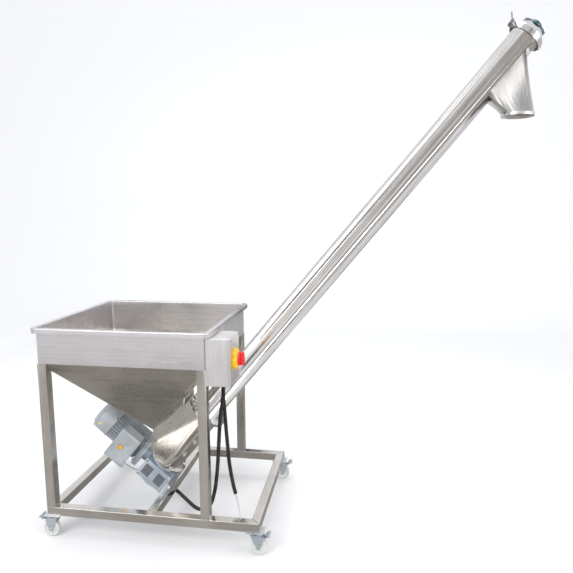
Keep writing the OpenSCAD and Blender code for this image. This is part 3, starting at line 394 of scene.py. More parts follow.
class Shade:
    """Adds nodes to one node tree and joins their sockets."""

    def __init__(self, tree: bpy.types.NodeTree) -> None:
        """Keeps the tree that the nodes go into."""
        self.tree = tree

    def add(self, kind: str, inputs: Optional[dict] = None, **settings) -> bpy.types.Node:
        """Adds a node.

        Args:
            kind: the node's type name.
            inputs: a value, or a socket to join, for each named or numbered input.
            **settings: values of the node's own properties.

        Returns:
            The node.
        """
        node = self.tree.nodes.new(kind)
        for key, value in settings.items():
            setattr(node, key, value)
        for key, value in (inputs or {}).items():
            if isinstance(value, bpy.types.NodeSocket):
                self.tree.links.new(value, node.inputs[key])
            else:
                node.inputs[key].default_value = value
        return node

    def math(self, how: str, a, b=0.0) -> bpy.types.NodeSocket:
        """Adds a Math node and gives its result."""
        return self.add("ShaderNodeMath", {0: a, 1: b}, operation=how).outputs[0]

    def spread(self, value, low: float, high: float, to_low: float, to_high: float) -> bpy.types.NodeSocket:
        """Stretches a value from one range to another and gives the result."""
        keys = {"Value": value, "From Min": low, "From Max": high, "To Min": to_low, "To Max": to_high}
        return self.add("ShaderNodeMapRange", keys).outputs["Result"]

    def mix(self, factor, a, b, how: str = "MIX") -> bpy.types.NodeSocket:
        """Mixes two colours and gives the result."""
        node = self.add("ShaderNodeMix", data_type="RGBA", blend_type=how)
        for index, value in ((0, factor), (6, a), (7, b)):
            if isinstance(value, bpy.types.NodeSocket):
                self.tree.links.new(value, node.inputs[index])
            else:
                node.inputs[index].default_value = value
        return node.outputs[2]


def make_group(
    name: str, inputs: dict[str, tuple[str, object]], outputs: dict[str, str]
) -> tuple[bpy.types.NodeTree, Shade, bpy.types.Node, bpy.types.Node]:
    """Starts a shader node group with named sockets.

    Args:
        name: the group's name.
        inputs: for each input its socket type and its standard value.
        outputs: for each output its socket type.

    Returns:
        The group, its node adder, its input node and its output node.
    """
    tree = bpy.data.node_groups.new(name, "ShaderNodeTree")
    for key, (kind, value) in inputs.items():
        socket = tree.interface.new_socket(name=key, in_out="INPUT", socket_type=kind)
        if value is not None:
            socket.default_value = value
    for key, kind in outputs.items():
        tree.interface.new_socket(name=key, in_out="OUTPUT", socket_type=kind)
    shade = Shade(tree)
    return tree, shade, shade.add("NodeGroupInput"), shade.add("NodeGroupOutput")


class Effects:
    """The effects that several finishes share, each a node group that is built once."""

    def __init__(self) -> None:
        """Builds every group."""
        self.grain = self._grain()
        self.smear = self._smear()
        self.scratch = self._scratch()
        self.grime = self._grime()

    def _grain(self) -> bpy.types.NodeTree:
        """Builds long fine lines, as a belt leaves them: two noises that are stretched along local X."""
        tree, sh, inp, out = make_group(
            "brushed_lines",
            {"Vector": ("NodeSocketVector", None), "Fineness": ("NodeSocketFloat", 900.0)},
            {"Lines": "NodeSocketFloat"},
        )
        stretch = sh.add(
            "ShaderNodeVectorMath", {0: inp.outputs["Vector"], 1: (0.012, 1.0, 1.0)}, operation="MULTIPLY"
        )
        fine = sh.add(
            "ShaderNodeTexNoise",
            {"Vector": stretch.outputs[0], "Scale": inp.outputs["Fineness"], "Detail": 3.0},
        )
        wide_scale = sh.math("MULTIPLY", inp.outputs["Fineness"], 0.13)
        wide = sh.add(
            "ShaderNodeTexNoise", {"Vector": stretch.outputs[0], "Scale": wide_scale, "Detail": 2.0}
        )
        total = sh.math(
            "ADD", sh.math("MULTIPLY", fine.outputs[0], 0.65), sh.math("MULTIPLY", wide.outputs[0], 0.35)
        )
        tree.links.new(total, out.inputs["Lines"])
        return tree

    def _smear(self) -> bpy.types.NodeTree:
        """Builds soft clouds, as wiping and handling leave them on sheet: a warped low noise."""
        tree, sh, inp, out = make_group(
            "wiped_clouds",
            {"Vector": ("NodeSocketVector", None), "Scale": ("NodeSocketFloat", 6.0)},
            {"Clouds": "NodeSocketFloat"},
        )
        keys = {
            "Vector": inp.outputs["Vector"], "Scale": inp.outputs["Scale"], "Detail": 2.0, "Distortion": 0.4
        }
        cloud = sh.add("ShaderNodeTexNoise", keys)
        tree.links.new(sh.spread(cloud.outputs[0], 0.3, 0.7, 0.0, 1.0), out.inputs["Clouds"])
        return tree

    def _scratch(self) -> bpy.types.NodeTree:
        """Builds a few thin scratches: the narrow borders of cells, kept only where a noise is high."""
        tree, sh, inp, out = make_group(
            "thin_scratches",
            {"Vector": ("NodeSocketVector", None), "Scale": ("NodeSocketFloat", 9.0)},
            {"Scratches": "NodeSocketFloat"},
        )
        bend = sh.add("ShaderNodeTexNoise", {"Vector": inp.outputs["Vector"], "Scale": 3.0, "Detail": 1.0})
        shifted = sh.add(
            "ShaderNodeVectorMath", {0: inp.outputs["Vector"], 1: bend.outputs[1]}, operation="ADD"
        )
        cells = sh.add(
            "ShaderNodeTexVoronoi",
            {"Vector": shifted.outputs[0], "Scale": inp.outputs["Scale"], "Randomness": 1.0},
            feature="DISTANCE_TO_EDGE",
        )
        line = sh.spread(cells.outputs[0], 0.0, 0.012, 1.0, 0.0)
        where = sh.add("ShaderNodeTexNoise", {"Vector": inp.outputs["Vector"], "Scale": 5.0, "Detail": 2.0})
        kept = sh.spread(where.outputs[0], 0.56, 0.62, 0.0, 1.0)
        tree.links.new(sh.math("MULTIPLY", line, kept), out.inputs["Scratches"])
        return tree

    def _grime(self) -> bpy.types.NodeTree:
        """Builds settled dust: more of it low down and on faces that look up, broken up by noise."""
        tree, sh, inp, out = make_group(
            "settled_dust",
            {"Vector": ("NodeSocketVector", None), "Scale": ("NodeSocketFloat", 14.0)},
            {"Dust": "NodeSocketFloat"},
        )
        geometry = sh.add("ShaderNodeNewGeometry")
        facing = sh.add("ShaderNodeSeparateXYZ", {0: geometry.outputs["Normal"]}).outputs[2]
        height = sh.add("ShaderNodeSeparateXYZ", {0: inp.outputs["Vector"]}).outputs[2]
        low = sh.spread(height, 0.0, 1.1, 1.0, 0.25)
        patch = sh.add(
            "ShaderNodeTexNoise",
            {"Vector": inp.outputs["Vector"], "Scale": inp.outputs["Scale"], "Detail": 6.0},
        )
        upward = sh.spread(facing, -0.2, 1.0, 0.2, 1.0)
        dust = sh.math(
            "MULTIPLY", sh.math("MULTIPLY", low, upward), sh.spread(patch.outputs[0], 0.35, 0.75, 0.0, 1.0)
        )
        tree.links.new(dust, out.inputs["Dust"])
        return tree


class Grain(Enum):
    """Which way a finish's fine lines run."""

    ALONG_X = (0.0, 0.0, 0.0)
    ALONG_Y = (0.0, 0.0, 90.0)
    ALONG_Z = (0.0, 90.0, 0.0)
    ALONG_AUGER = (0.0, 50.4, 0.0)
    ALONG_MOTOR = (0.0, -39.6, 0.0)


@dataclass(frozen=True)
class Steel:
    """A bare steel finish: its lines, clouds, scratches and dust."""

    name: str
    colour: tuple[float, float, float]
    shade: tuple[float, float, float]
    roughness: float
    spread: float
    grain: Grain
    fineness: float = 900.0
    line_depth: float = 0.000005
    waviness: float = 0.0
    scratches: float = 0.02
    dust: float = 0.15
    metallic: float = 1.0

    def build(self, fx: Effects) -> bpy.types.Material:
        """Makes the material.

        Args:
            fx: the shared effects.

        Returns:
            The material.
        """
        mat = bpy.data.materials.new(self.name)
        mat.use_nodes = True
        sh = Shade(mat.node_tree)
        bsdf = mat.node_tree.nodes["Principled BSDF"]
        where = sh.add("ShaderNodeTexCoord").outputs["Object"]
        turn = tuple(math.radians(v) for v in self.grain.value)
        turned = sh.add("ShaderNodeMapping", {"Vector": where, "Rotation": turn}).outputs[0]
        lines = sh.add("ShaderNodeGroup", {}, node_tree=fx.grain)
        mat.node_tree.links.new(turned, lines.inputs["Vector"])
        lines.inputs["Fineness"].default_value = self.fineness
        clouds = self._group(sh, fx.smear, where, "Scale", 5.0)
        fine_clouds = self._group(sh, fx.smear, turned, "Scale", 26.0)
        scratches = self._group(sh, fx.scratch, where, "Scale", 8.0)
        dust = self._group(sh, fx.grime, where, "Scale", 30.0)
        base = sh.mix(clouds.outputs[0], (*self.shade, 1), (*self.colour, 1))
        grainy = sh.spread(lines.outputs[0], 0.35, 0.65, 0.86, 1.08)
        base = sh.mix(
            1.0,
            base,
            sh.add("ShaderNodeCombineColor", {0: grainy, 1: grainy, 2: grainy}).outputs[0],
            "MULTIPLY",
        )
        dusty = sh.math("MULTIPLY", dust.outputs[0], self.dust)
        base = sh.mix(dusty, base, (0.56, 0.52, 0.47, 1))
        mat.node_tree.links.new(base, bsdf.inputs["Base Color"])
        rough = sh.spread(clouds.outputs[0], 0, 1, self.roughness, self.roughness + self.spread)
        rough = sh.math(
            "ADD", rough, sh.spread(lines.outputs[0], 0.3, 0.7, -0.4 * self.spread, 0.4 * self.spread)
        )
        rough = sh.math("ADD", rough, sh.math("MULTIPLY", fine_clouds.outputs[0], 0.25 * self.spread))
        rough = sh.math("ADD", rough, sh.math("MULTIPLY", scratches.outputs[0], 0.3 * self.scratches))
        rough = sh.math("ADD", rough, sh.math("MULTIPLY", dusty, 0.6))
        mat.node_tree.links.new(rough, bsdf.inputs["Roughness"])
        metal = sh.spread(dusty, 0.0, 1.0, self.metallic, 0.2)
        mat.node_tree.links.new(metal, bsdf.inputs["Metallic"])
        height = sh.math(
            "SUBTRACT", lines.outputs[0], sh.math("MULTIPLY", scratches.outputs[0], self.scratches)
        )
        bump = sh.add("ShaderNodeBump", {"Height": height, "Distance": self.line_depth, "Strength": 1.0})
        if self.waviness:
            sag = sh.add("ShaderNodeTexNoise", {"Vector": where, "Scale": 4.5, "Detail": 1.0})
            keys = {
                "Height": sag.outputs[0],
                "Distance": self.waviness,
                "Strength": 1.0,
                "Normal": bump.outputs[0],
            }
            bump = sh.add("ShaderNodeBump", keys)
        mat.node_tree.links.new(bump.outputs[0], bsdf.inputs["Normal"])
        return mat

    @staticmethod
    def _group(sh: Shade, tree: bpy.types.NodeTree, vector, key: str, value: float) -> bpy.types.Node:
        """Places a shared effect with its own value."""
        node = sh.add("ShaderNodeGroup", {}, node_tree=tree)
        sh.tree.links.new(vector, node.inputs["Vector"])
        node.inputs[key].default_value = value
        return node


@dataclass(frozen=True)
class Coat:
    """A painted, plated or moulded finish."""

    name: str
    colour: tuple[float, float, float]
    shade: tuple[float, float, float]
    roughness: float
    spread: float = 0.12
    metallic: float = 0.0
    clear: float = 0.0
    pebble: float = 0.00006
    pebble_scale: float = 900.0
    dust: float = 0.3
    subsurface: float = 0.0

    def build(self, fx: Effects) -> bpy.types.Material:
        """Makes the material.

        Args:
            fx: the shared effects.

        Returns:
            The material.
        """
        mat = bpy.data.materials.new(self.name)
        mat.use_nodes = True
        sh = Shade(mat.node_tree)
        bsdf = mat.node_tree.nodes["Principled BSDF"]
        bsdf.inputs["Metallic"].default_value = self.metallic
        bsdf.inputs["Coat Weight"].default_value = self.clear
        bsdf.inputs["Coat Roughness"].default_value = 0.12
        bsdf.inputs["Subsurface Weight"].default_value = self.subsurface
        bsdf.inputs["Subsurface Scale"].default_value = 0.004
        where = sh.add("ShaderNodeTexCoord").outputs["Object"]
        clouds = Steel._group(sh, fx.smear, where, "Scale", 18.0)
        dust = Steel._group(sh, fx.grime, where, "Scale", 45.0)
        scratches = Steel._group(sh, fx.scratch, where, "Scale", 30.0)
        base = sh.mix(clouds.outputs[0], (*self.shade, 1), (*self.colour, 1))
        dusty = sh.math("MULTIPLY", dust.outputs[0], self.dust)
        base = sh.mix(dusty, base, (0.50, 0.47, 0.43, 1))
        base = sh.mix(
            sh.math("MULTIPLY", scratches.outputs[0], 0.25),
            base,
            (*[min(1.0, 1.5 * c + 0.05) for c in self.colour], 1),
        )
        mat.node_tree.links.new(base, bsdf.inputs["Base Color"])
        rough = sh.spread(clouds.outputs[0], 0, 1, self.roughness, self.roughness + self.spread)
        rough = sh.math("ADD", rough, sh.math("MULTIPLY", dusty, 0.4))
        mat.node_tree.links.new(rough, bsdf.inputs["Roughness"])
        peel = sh.add("ShaderNodeTexNoise", {"Vector": where, "Scale": self.pebble_scale, "Detail": 3.0})
        bump = sh.add(
            "ShaderNodeBump", {"Height": peel.outputs[0], "Distance": self.pebble, "Strength": 1.0}
        )
        mat.node_tree.links.new(bump.outputs[0], bsdf.inputs["Normal"])
        return mat


class Palette:
    """Every material of the machine, built once and found by name."""

    FINISHES: tuple = (
        Steel(
            "bar_x_steel", (0.74, 0.71, 0.67), (0.60, 0.57, 0.53), 0.09, 0.10, Grain.ALONG_X, 700,
            dust=0.15
        ),
        Steel(
            "bar_y_steel", (0.74, 0.71, 0.67), (0.60, 0.57, 0.53), 0.09, 0.10, Grain.ALONG_Y, 700,
            dust=0.15
        ),
        Steel(
            "leg_steel", (0.72, 0.69, 0.65), (0.58, 0.55, 0.51), 0.09, 0.10, Grain.ALONG_Z, 700,
            waviness=0.0004
        ),
        Steel(
            "sheet_steel", (0.76, 0.735, 0.745), (0.68, 0.66, 0.665), 0.24, 0.09, Grain.ALONG_X,
            800, waviness=0.0005
        ),
        Steel(
            "cone_steel", (0.66, 0.64, 0.59), (0.56, 0.535, 0.485), 0.22, 0.10, Grain.ALONG_X, 500,
            waviness=0.0005
        ),
        Steel(
            "trough_steel", (0.70, 0.68, 0.65), (0.58, 0.56, 0.53), 0.13, 0.07, Grain.ALONG_AUGER,
            500, waviness=0.0002
        ),
        Steel(
            "tube_steel", (0.78, 0.76, 0.74), (0.66, 0.64, 0.615), 0.11, 0.08, Grain.ALONG_AUGER,
            500, waviness=0.0002
        ),
        Steel(
            "spout_steel", (0.76, 0.75, 0.735), (0.64, 0.625, 0.605), 0.28, 0.10, Grain.ALONG_Z,
            700, waviness=0.0004
        ),
        Steel(
            "bright_steel", (0.66, 0.645, 0.63), (0.46, 0.445, 0.43), 0.13, 0.12, Grain.ALONG_Z,
            1200, dust=0.1
        ),
        Steel(
            "scuff_steel", (0.95, 0.94, 0.93), (0.86, 0.85, 0.84), 0.45, 0.2, Grain.ALONG_X, 1200,
            dust=0.0, metallic=0.7
        ),
        Steel(
            "box_steel", (0.86, 0.845, 0.84), (0.78, 0.765, 0.76), 0.34, 0.10, Grain.ALONG_Z, 900,
            waviness=0.0005
        ),
        Steel(
            "inner_steel", (0.45, 0.43, 0.41), (0.32, 0.30, 0.28), 0.32, 0.15, Grain.ALONG_AUGER,
            500, dust=0.3
        ),
        Steel(
            "zinc", (0.74, 0.80, 0.86), (0.58, 0.65, 0.72), 0.2, 0.14, Grain.ALONG_X, 500,
            dust=0.25, metallic=0.8
        ),
        Steel("bronze", (0.70, 0.48, 0.22), (0.52, 0.34, 0.14), 0.28, 0.12, Grain.ALONG_AUGER, 600),
        Coat("gear_alloy", (0.66, 0.72, 0.80), (0.50, 0.57, 0.66), 0.30, 0.14, 0.55, 0.15, 0.00012, 700),
        Coat("motor_alloy", (0.56, 0.60, 0.63), (0.44, 0.475, 0.50), 0.34, 0.14, 0.40, 0.15, 0.00010, 800),
        # near-black paint for the blocks in the gearbox grooves: painted shade standing for the shade inside the
        # slots
        Coat("groove_painted_shade", (0.012, 0.012, 0.014), (0.006, 0.006, 0.007), 0.7, 0.1, dust=0.05),
        Coat(
            "bearing_enamel", (0.040, 0.090, 0.108), (0.025, 0.060, 0.075), 0.33, 0.16, 0.1, 0.35,
            0.00025, 350
        ),
        Coat("fan_plastic", (0.03, 0.03, 0.035), (0.02, 0.02, 0.02), 0.5),
        Coat("switch_yellow", (0.93, 0.56, 0.01), (0.85, 0.46, 0.005), 0.30, 0.10, 0.0, 0.25, dust=0.1),
        Coat("switch_red", (0.80, 0.015, 0.02), (0.62, 0.008, 0.012), 0.28, 0.10, 0.0, 0.3, dust=0.08),
        Coat("black_moulding", (0.018, 0.018, 0.020), (0.010, 0.010, 0.011), 0.42, 0.2, dust=0.12),
        Coat("conduit_black", (0.012, 0.012, 0.013), (0.008, 0.008, 0.009), 0.46, 0.18, dust=0.16),
        Coat("lead_grey", (0.66, 0.68, 0.68), (0.55, 0.57, 0.58), 0.42, 0.12),
        Coat(
            "nylon", (0.70, 0.725, 0.68), (0.60, 0.625, 0.58), 0.34, 0.14, 0.0, 0.1, dust=0.35,
            subsurface=0.12
        ),
        Coat("amber_label", (0.90, 0.45, 0.03), (0.82, 0.38, 0.02), 0.38, 0.10, dust=0.1),
        Coat("yellow_label", (0.95, 0.78, 0.05), (0.88, 0.70, 0.04), 0.38, 0.10, dust=0.1),
    )

    def __init__(self) -> None:
        """Builds the shared effects, then every finish."""
        fx = Effects()
        self.found = {finish.name: finish.build(fx) for finish in self.FINISHES}

    def dress(self, obj: bpy.types.Object, name: str) -> None:
        """Gives an object one material over all its faces."""
        obj.data.materials.clear()
        obj.data.materials.append(self.found[name])


# ---------------------------------------------------------------------------------------------
# what every sub-assembly shares
# ---------------------------------------------------------------------------------------------


@dataclass
class Machine:
    """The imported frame, the palette and the auger's own directions."""

    nodes: dict[str, bpy.types.Object]
    palette: Palette
    table: dict[str, tuple[str, str]]
    angle: float = math.radians(50.4)
    foot: tuple[float, float, float] = (-0.710439, 0.0, 0.110)

    def __post_init__(self) -> None:
        """Works out the auger's directions: along the axis and up from it."""
        self.along = np.array([math.cos(self.angle), 0.0, math.sin(self.angle)])
        self.up = np.array([-math.sin(self.angle), 0.0, math.cos(self.angle)])

    def at(self, t: float, up: float, y: float) -> Array:
        """Gives the point t along the auger's axis, so far up from it and at this y, all in millimetres."""
        return np.array(self.foot) + MM * (t * self.along + up * self.up + np.array([0.0, y, 0.0]))

    def add(
        self, piece: bpy.types.Object, body: str, finish: str, slot: str, *stands_for: str
    ) -> bpy.types.Object:
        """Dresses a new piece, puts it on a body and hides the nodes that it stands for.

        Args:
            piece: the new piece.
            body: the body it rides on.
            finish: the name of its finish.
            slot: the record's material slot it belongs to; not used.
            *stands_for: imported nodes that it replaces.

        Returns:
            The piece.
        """
        self.palette.dress(piece, finish)
        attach(piece, body)
        if stands_for:
            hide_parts(*stands_for)
        LOG.info("piece %s rides on %s", piece.name, body)
        return piece

    def refine(
        self, node: str, bevel: float = 0.8, segments: int = 2, sharp: float = 32.0
    ) -> bpy.types.Object:
        """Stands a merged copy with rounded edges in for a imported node.

        Args:
            node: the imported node.
            bevel: width of the rounded edges in millimetres, or 0 for none.
            segments: steps across a rounded edge.
            sharp: the angle in degrees past which an edge counts as an edge.

        Returns:
            The new piece.
        """
        source = self.nodes[node]
        finish, slot = self.table[node]
        mesh = source.data.copy()
        mesh.name = node + "_fine"
        settle(mesh, sharp, 1e-5)
        copy = bpy.data.objects.new(node + "_fine", mesh)
        bpy.context.scene.collection.objects.link(copy)
        if bevel:
            mod = copy.modifiers.new("edges", "BEVEL")
            mod.width = bevel * MM
            mod.segments = segments
            mod.limit_method = "ANGLE"
            mod.angle_limit = math.radians(sharp)
            mod.harden_normals = True
            mod.use_clamp_overlap = True
        return self.add(copy, source["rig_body"], finish, slot, node)


CORNERS = ("near_left", "near_right", "back_left", "back_right")


def piece_table() -> dict[str, tuple[str, str]]:
    """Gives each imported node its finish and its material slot."""
    table = {
        "base_near_bar": ("bar_x_steel", "frame_steel"),
        "base_back_bar": ("bar_x_steel", "frame_steel"),
        "base_left_bar": ("bar_y_steel", "frame_steel"),
        "base_right_bar": ("bar_y_steel", "frame_steel"),
        "base_cross_bar": ("bar_y_steel", "frame_steel"),
        "hopper_box": ("sheet_steel", "sheet_steel"),
        "hopper_cone": ("cone_steel", "sheet_steel"),
        "hopper_neck": ("cone_steel", "sheet_steel"),
        "trough": ("trough_steel", "sheet_steel"),
        "cleaning_door": ("trough_steel", "sheet_steel"),
        "spout": ("spout_steel", "sheet_steel"),
        "auger_tube": ("tube_steel", "tube_steel"),
        "clamp_half_near": ("bright_steel", "tube_steel"),
        "clamp_half_far": ("bright_steel", "tube_steel"),
        "end_cap": ("bright_steel", "tube_steel"),
        "end_bearing": ("bearing_enamel", "bearing_blue"),
        "gearbox_housing": ("gear_alloy", "gear_alloy"),
        "gearbox_cover": ("gear_alloy", "gear_alloy"),
        "worm_wheel": ("bronze", "bronze"),
        "motor_frame": ("motor_alloy", "motor_alloy"),
        "fan_cowl": ("motor_alloy", "motor_alloy"),
        "terminal_box": ("motor_alloy", "motor_alloy"),
        "terminal_lid": ("motor_alloy", "motor_alloy"),
        "motor_fan": ("fan_plastic", "fan_plastic"),
        "control_box": ("box_steel", "box_steel"),
        "control_lid": ("box_steel", "box_steel"),
        "switch_base": ("switch_yellow", "switch_yellow"),
        "switch_handle": ("switch_red", "switch_red"),
        "cable_glands": ("black_moulding", "gland_black"),
        "caster_plates": ("zinc", "zinc"),
    }
    table |= {"leg_" + corner: ("leg_steel", "frame_steel") for corner in CORNERS}
    bright = ("flange_bolts", "door_knob_lower", "door_knob_upper", "clamp_bolt", "wing_nut", "lid_screws")
    table |= {name: ("bright_steel", "fastener_steel") for name in bright}
    dull = ("screw_shaft", "screw_flight", "worm_shaft", "motor_rotor")
    table |= {name: ("inner_steel", "inner_steel") for name in dull}
    for corner in CORNERS:
        table |= {kind + corner: ("zinc", "zinc") for kind in ("fork_", "pedal_")}
        table["wheel_" + corner] = ("nylon", "wheel_nylon")
    return table


# ---------------------------------------------------------------------------------------------
# sub-assemblies
# ---------------------------------------------------------------------------------------------


@dataclass
class BaseFrame:
    """The welded square-tube base and the four legs."""

    bar_bevel: float = 2.2
    bars: tuple[str, ...] = (
        "base_near_bar", "base_back_bar", "base_left_bar", "base_right_bar", "base_cross_bar"
    )
    seam: float = 1.6

    def build(self, m: Machine) -> None:
        """Rounds the tubes' edges and lays weld beads where they meet.

        Args:
            m: the machine.
        """
        for bar in self.bars:
            m.refine(bar, self.bar_bevel, 3)
        for corner in CORNERS:
            m.refine("leg_" + corner, self.bar_bevel, 3)
            self.leg_weld(m, corner)

    def leg_weld(self, m: Machine, corner: str) -> None:
        """Lays a rippled bead round a leg's foot.

        The bead's radius at angle a is seam * (1 + 0.18 * sin(90 * a)), in millimetres.
        """
        low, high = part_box("leg_" + corner)
        ring, out = rounded_ring(low.x, high.x, (high.y - low.y) / 2, 0.004, 6, 14)
        ring = ring + np.array([0.0, (low.y + high.y) / 2])
        a = np.linspace(0, 2 * np.pi, 8, endpoint=False)
        size = MM * self.seam * (1 + 0.18 * np.sin(90 * np.linspace(0, 2 * np.pi, len(ring))))
        wide = size[:, None] * np.cos(a)[None, :]
        tall = size[:, None] * np.sin(a)[None, :]
        flat = ring[:, None, :] + out[:, None, :] * wide[..., None]
        verts = np.concatenate([flat, (low.z + tall)[..., None]], -1)
        bead = make_piece("weld_" + corner, verts, grid_faces(len(ring), len(a), True, True))
        m.add(bead, "machine", "bright_steel", "frame_steel")


@dataclass
class Hopper:
    """The sheet box with its turned-out rim, the four-sided cone and the neck."""

    x0: float = -1041.04
    x1: float = -277.04
    half_w: float = 357.5
    low: float = 823.0
    high: float = 984.0
    rim: float = 21.5
    lip: float = 21.5
    sheet: float = 2.0
    corner: float = 10.0
    bend: float = 3.5

    def build(self, m: Machine) -> None:
        """Draws the box and smooths the cone and the neck."""
        self.box(m)
        self.scratch(m)
        m.refine("hopper_cone", 0, 1, 24)
        m.refine("hopper_neck", 0.5, 2)

    def profile(self) -> Array:
        """Walks round the sheet's section, as (distance out from the wall, height) in millimetres.

        Every bend is a quarter circle: the outer face of a bend has the radius bend, the inner face bend less
        the sheet's thickness.
        """
        q = np.linspace(0, np.pi / 2, 6)
        b, s, z = self.bend, self.sheet, self.high
        inner, wide = b - s, b
        up = [[-s, self.low], [-s, z - 40], [-s, z - wide]]
        to_rim = np.stack([-s + wide * (1 - np.cos(q)), z - wide + wide * np.sin(q)], -1)
        to_lip = np.stack([self.rim - wide + wide * np.sin(q), z - wide + wide * np.cos(q)], -1)
        down = [[self.rim, z - self.lip], [self.rim - s, z - self.lip]]
        under = np.stack([self.rim - wide + inner * np.sin(q), z - wide + inner * np.cos(q)], -1)[::-1]
        back = np.stack([(wide - s) - inner * np.sin(q), (z - wide) + inner * np.cos(q)], -1)
        wall = [[0.0, z - wide], [0.0, z - 40], [0.0, self.low]]
        return np.concatenate([up, to_rim, to_lip, down, under, back, wall])

    def box(self, m: Machine) -> None:
        """Carries the section round the box's rounded plan."""
        ring, out = rounded_ring(self.x0, self.x1, self.half_w, self.corner, 9, 12)
        prof = self.profile()
        flat = ring[:, None, :] + out[:, None, :] * prof[None, :, 0:1]
        tall = np.broadcast_to(prof[None, :, 1:2], (len(ring), len(prof), 1))
        verts = MM * np.concatenate([flat, tall], -1)
        piece = make_piece("hopper_box_fine", verts, grid_faces(len(ring), len(prof), True, True), 50)
        m.add(piece, "machine", "sheet_steel", "sheet_steel", "hopper_box")

    def scratch(self, m: Machine) -> None:
        """Draws the long wavy scuff low on the near wall.

        Its height is 868 - 14 * sin(pi * f ** 0.8) + 3 * sin(9 * f) millimetres at the share f of its length.
        """
        f = np.linspace(0, 1, 90)
        x = self.x0 + 460 + 262 * f
        z = 868 - 14 * np.sin(np.pi * f**0.8) + 3 * np.sin(9 * f)
        path = MM * np.stack([x, np.full_like(x, -self.half_w + 0.15), z], -1)
        size = MM * (0.12 + 0.5 * np.sin(np.pi * f) ** 0.7 * (0.75 + 0.25 * np.sin(31 * f)))
        verts, faces = sweep(path, size, 8)
        m.add(make_piece("hopper_scuff", verts, faces), "machine", "scuff_steel", "sheet_steel")


@dataclass
class Auger:
    """The tube, its end, the screw and the trough under the hopper."""

    cap_start: float = 2699.5
    cap_height: float = 41.0
    bolt_circle: float = 40.0
    ear_height: float = 12.8

    def build(self, m: Machine) -> None:
        """Smooths the turned and rolled parts."""
        for node, bevel in (
            ("auger_tube", 0.0),
            ("trough", 0.5),
            ("cleaning_door", 0.6),
            ("spout", 0.0),
            ("screw_shaft", 0.5),
            ("screw_flight", 0.0),
            ("clamp_half_near", 0.9),
            ("clamp_half_far", 0.9),
            ("clamp_bolt", 0.5),
            ("wing_nut", 1.2),
            ("flange_bolts", 0.6),
            ("door_knob_lower", 0.8),
            ("door_knob_upper", 0.8),
        ):
            m.refine(node, bevel, 2, 30)
        self.top_end(m)

    def top_end(self, m: Machine) -> None:
        """Domes the end cap and casts the bearing block on it, with a bolt in each of its four ears."""
        foot = m.at(self.cap_start, 0, 0)
        outside = [
            (15, 0), (59, 0), (66.4, 0.4), (66.9, 1.2), (66.9, 5.6), (66.2, 6.8), (63.4, 7.6), (62.2, 8.8)
        ]
        dome = [(62 - 15.5 * f**2.2, 12 + 27.5 * f) for f in np.linspace(0, 1, 9)]
        crown = [(45.2, 40.8), (43.4, 41.0), (15, 41.0), (15, 0)]
        profile = [(MM * r, MM * t) for r, t in outside + dome + crown]
        cap = joined("domed_cap", [lathe(profile, foot, m.along, 128)])
        m.add(cap, "machine", "tube_steel", "tube_steel", "end_cap")
        seat = m.at(self.cap_start + self.cap_height, 0, 0)
        ears = [(12.6, 0), (44.2, 0), (44.8, 0.7), (44.8, 11.2), (43.6, 12.8), (12.6, 12.8), (12.6, 0)]
        boss = [(12.6, 12), (30.5, 12), (29.4, 15.4), (27.4, 17.2)]
        boss += [(23.5, 20.4), (20.6, 21.4), (12.6, 21.4), (12.6, 12)]
        flange = lathe([(MM * r, MM * t) for r, t in ears], seat, m.along, 128, 4, 0.14)
        turned = lathe([(MM * r, MM * t) for r, t in boss], seat, m.along, 96)
        block = joined("bearing_block", [flange, turned])
        m.add(block, "machine", "bearing_enamel", "bearing_blue", "end_bearing")
        side, up = frame_of(m.along)
        shells = []
        for quarter in range(4):
            out = math.cos(quarter * math.pi / 2) * side + math.sin(quarter * math.pi / 2) * up
            foot = seat + MM * self.ear_height * m.along + MM * self.bolt_circle * out
            shells += hex_bolt(foot, m.along, 0.0078, 0.0072)
        m.add(make_many("bearing_bolts", shells), "machine", "zinc", "bearing_blue")


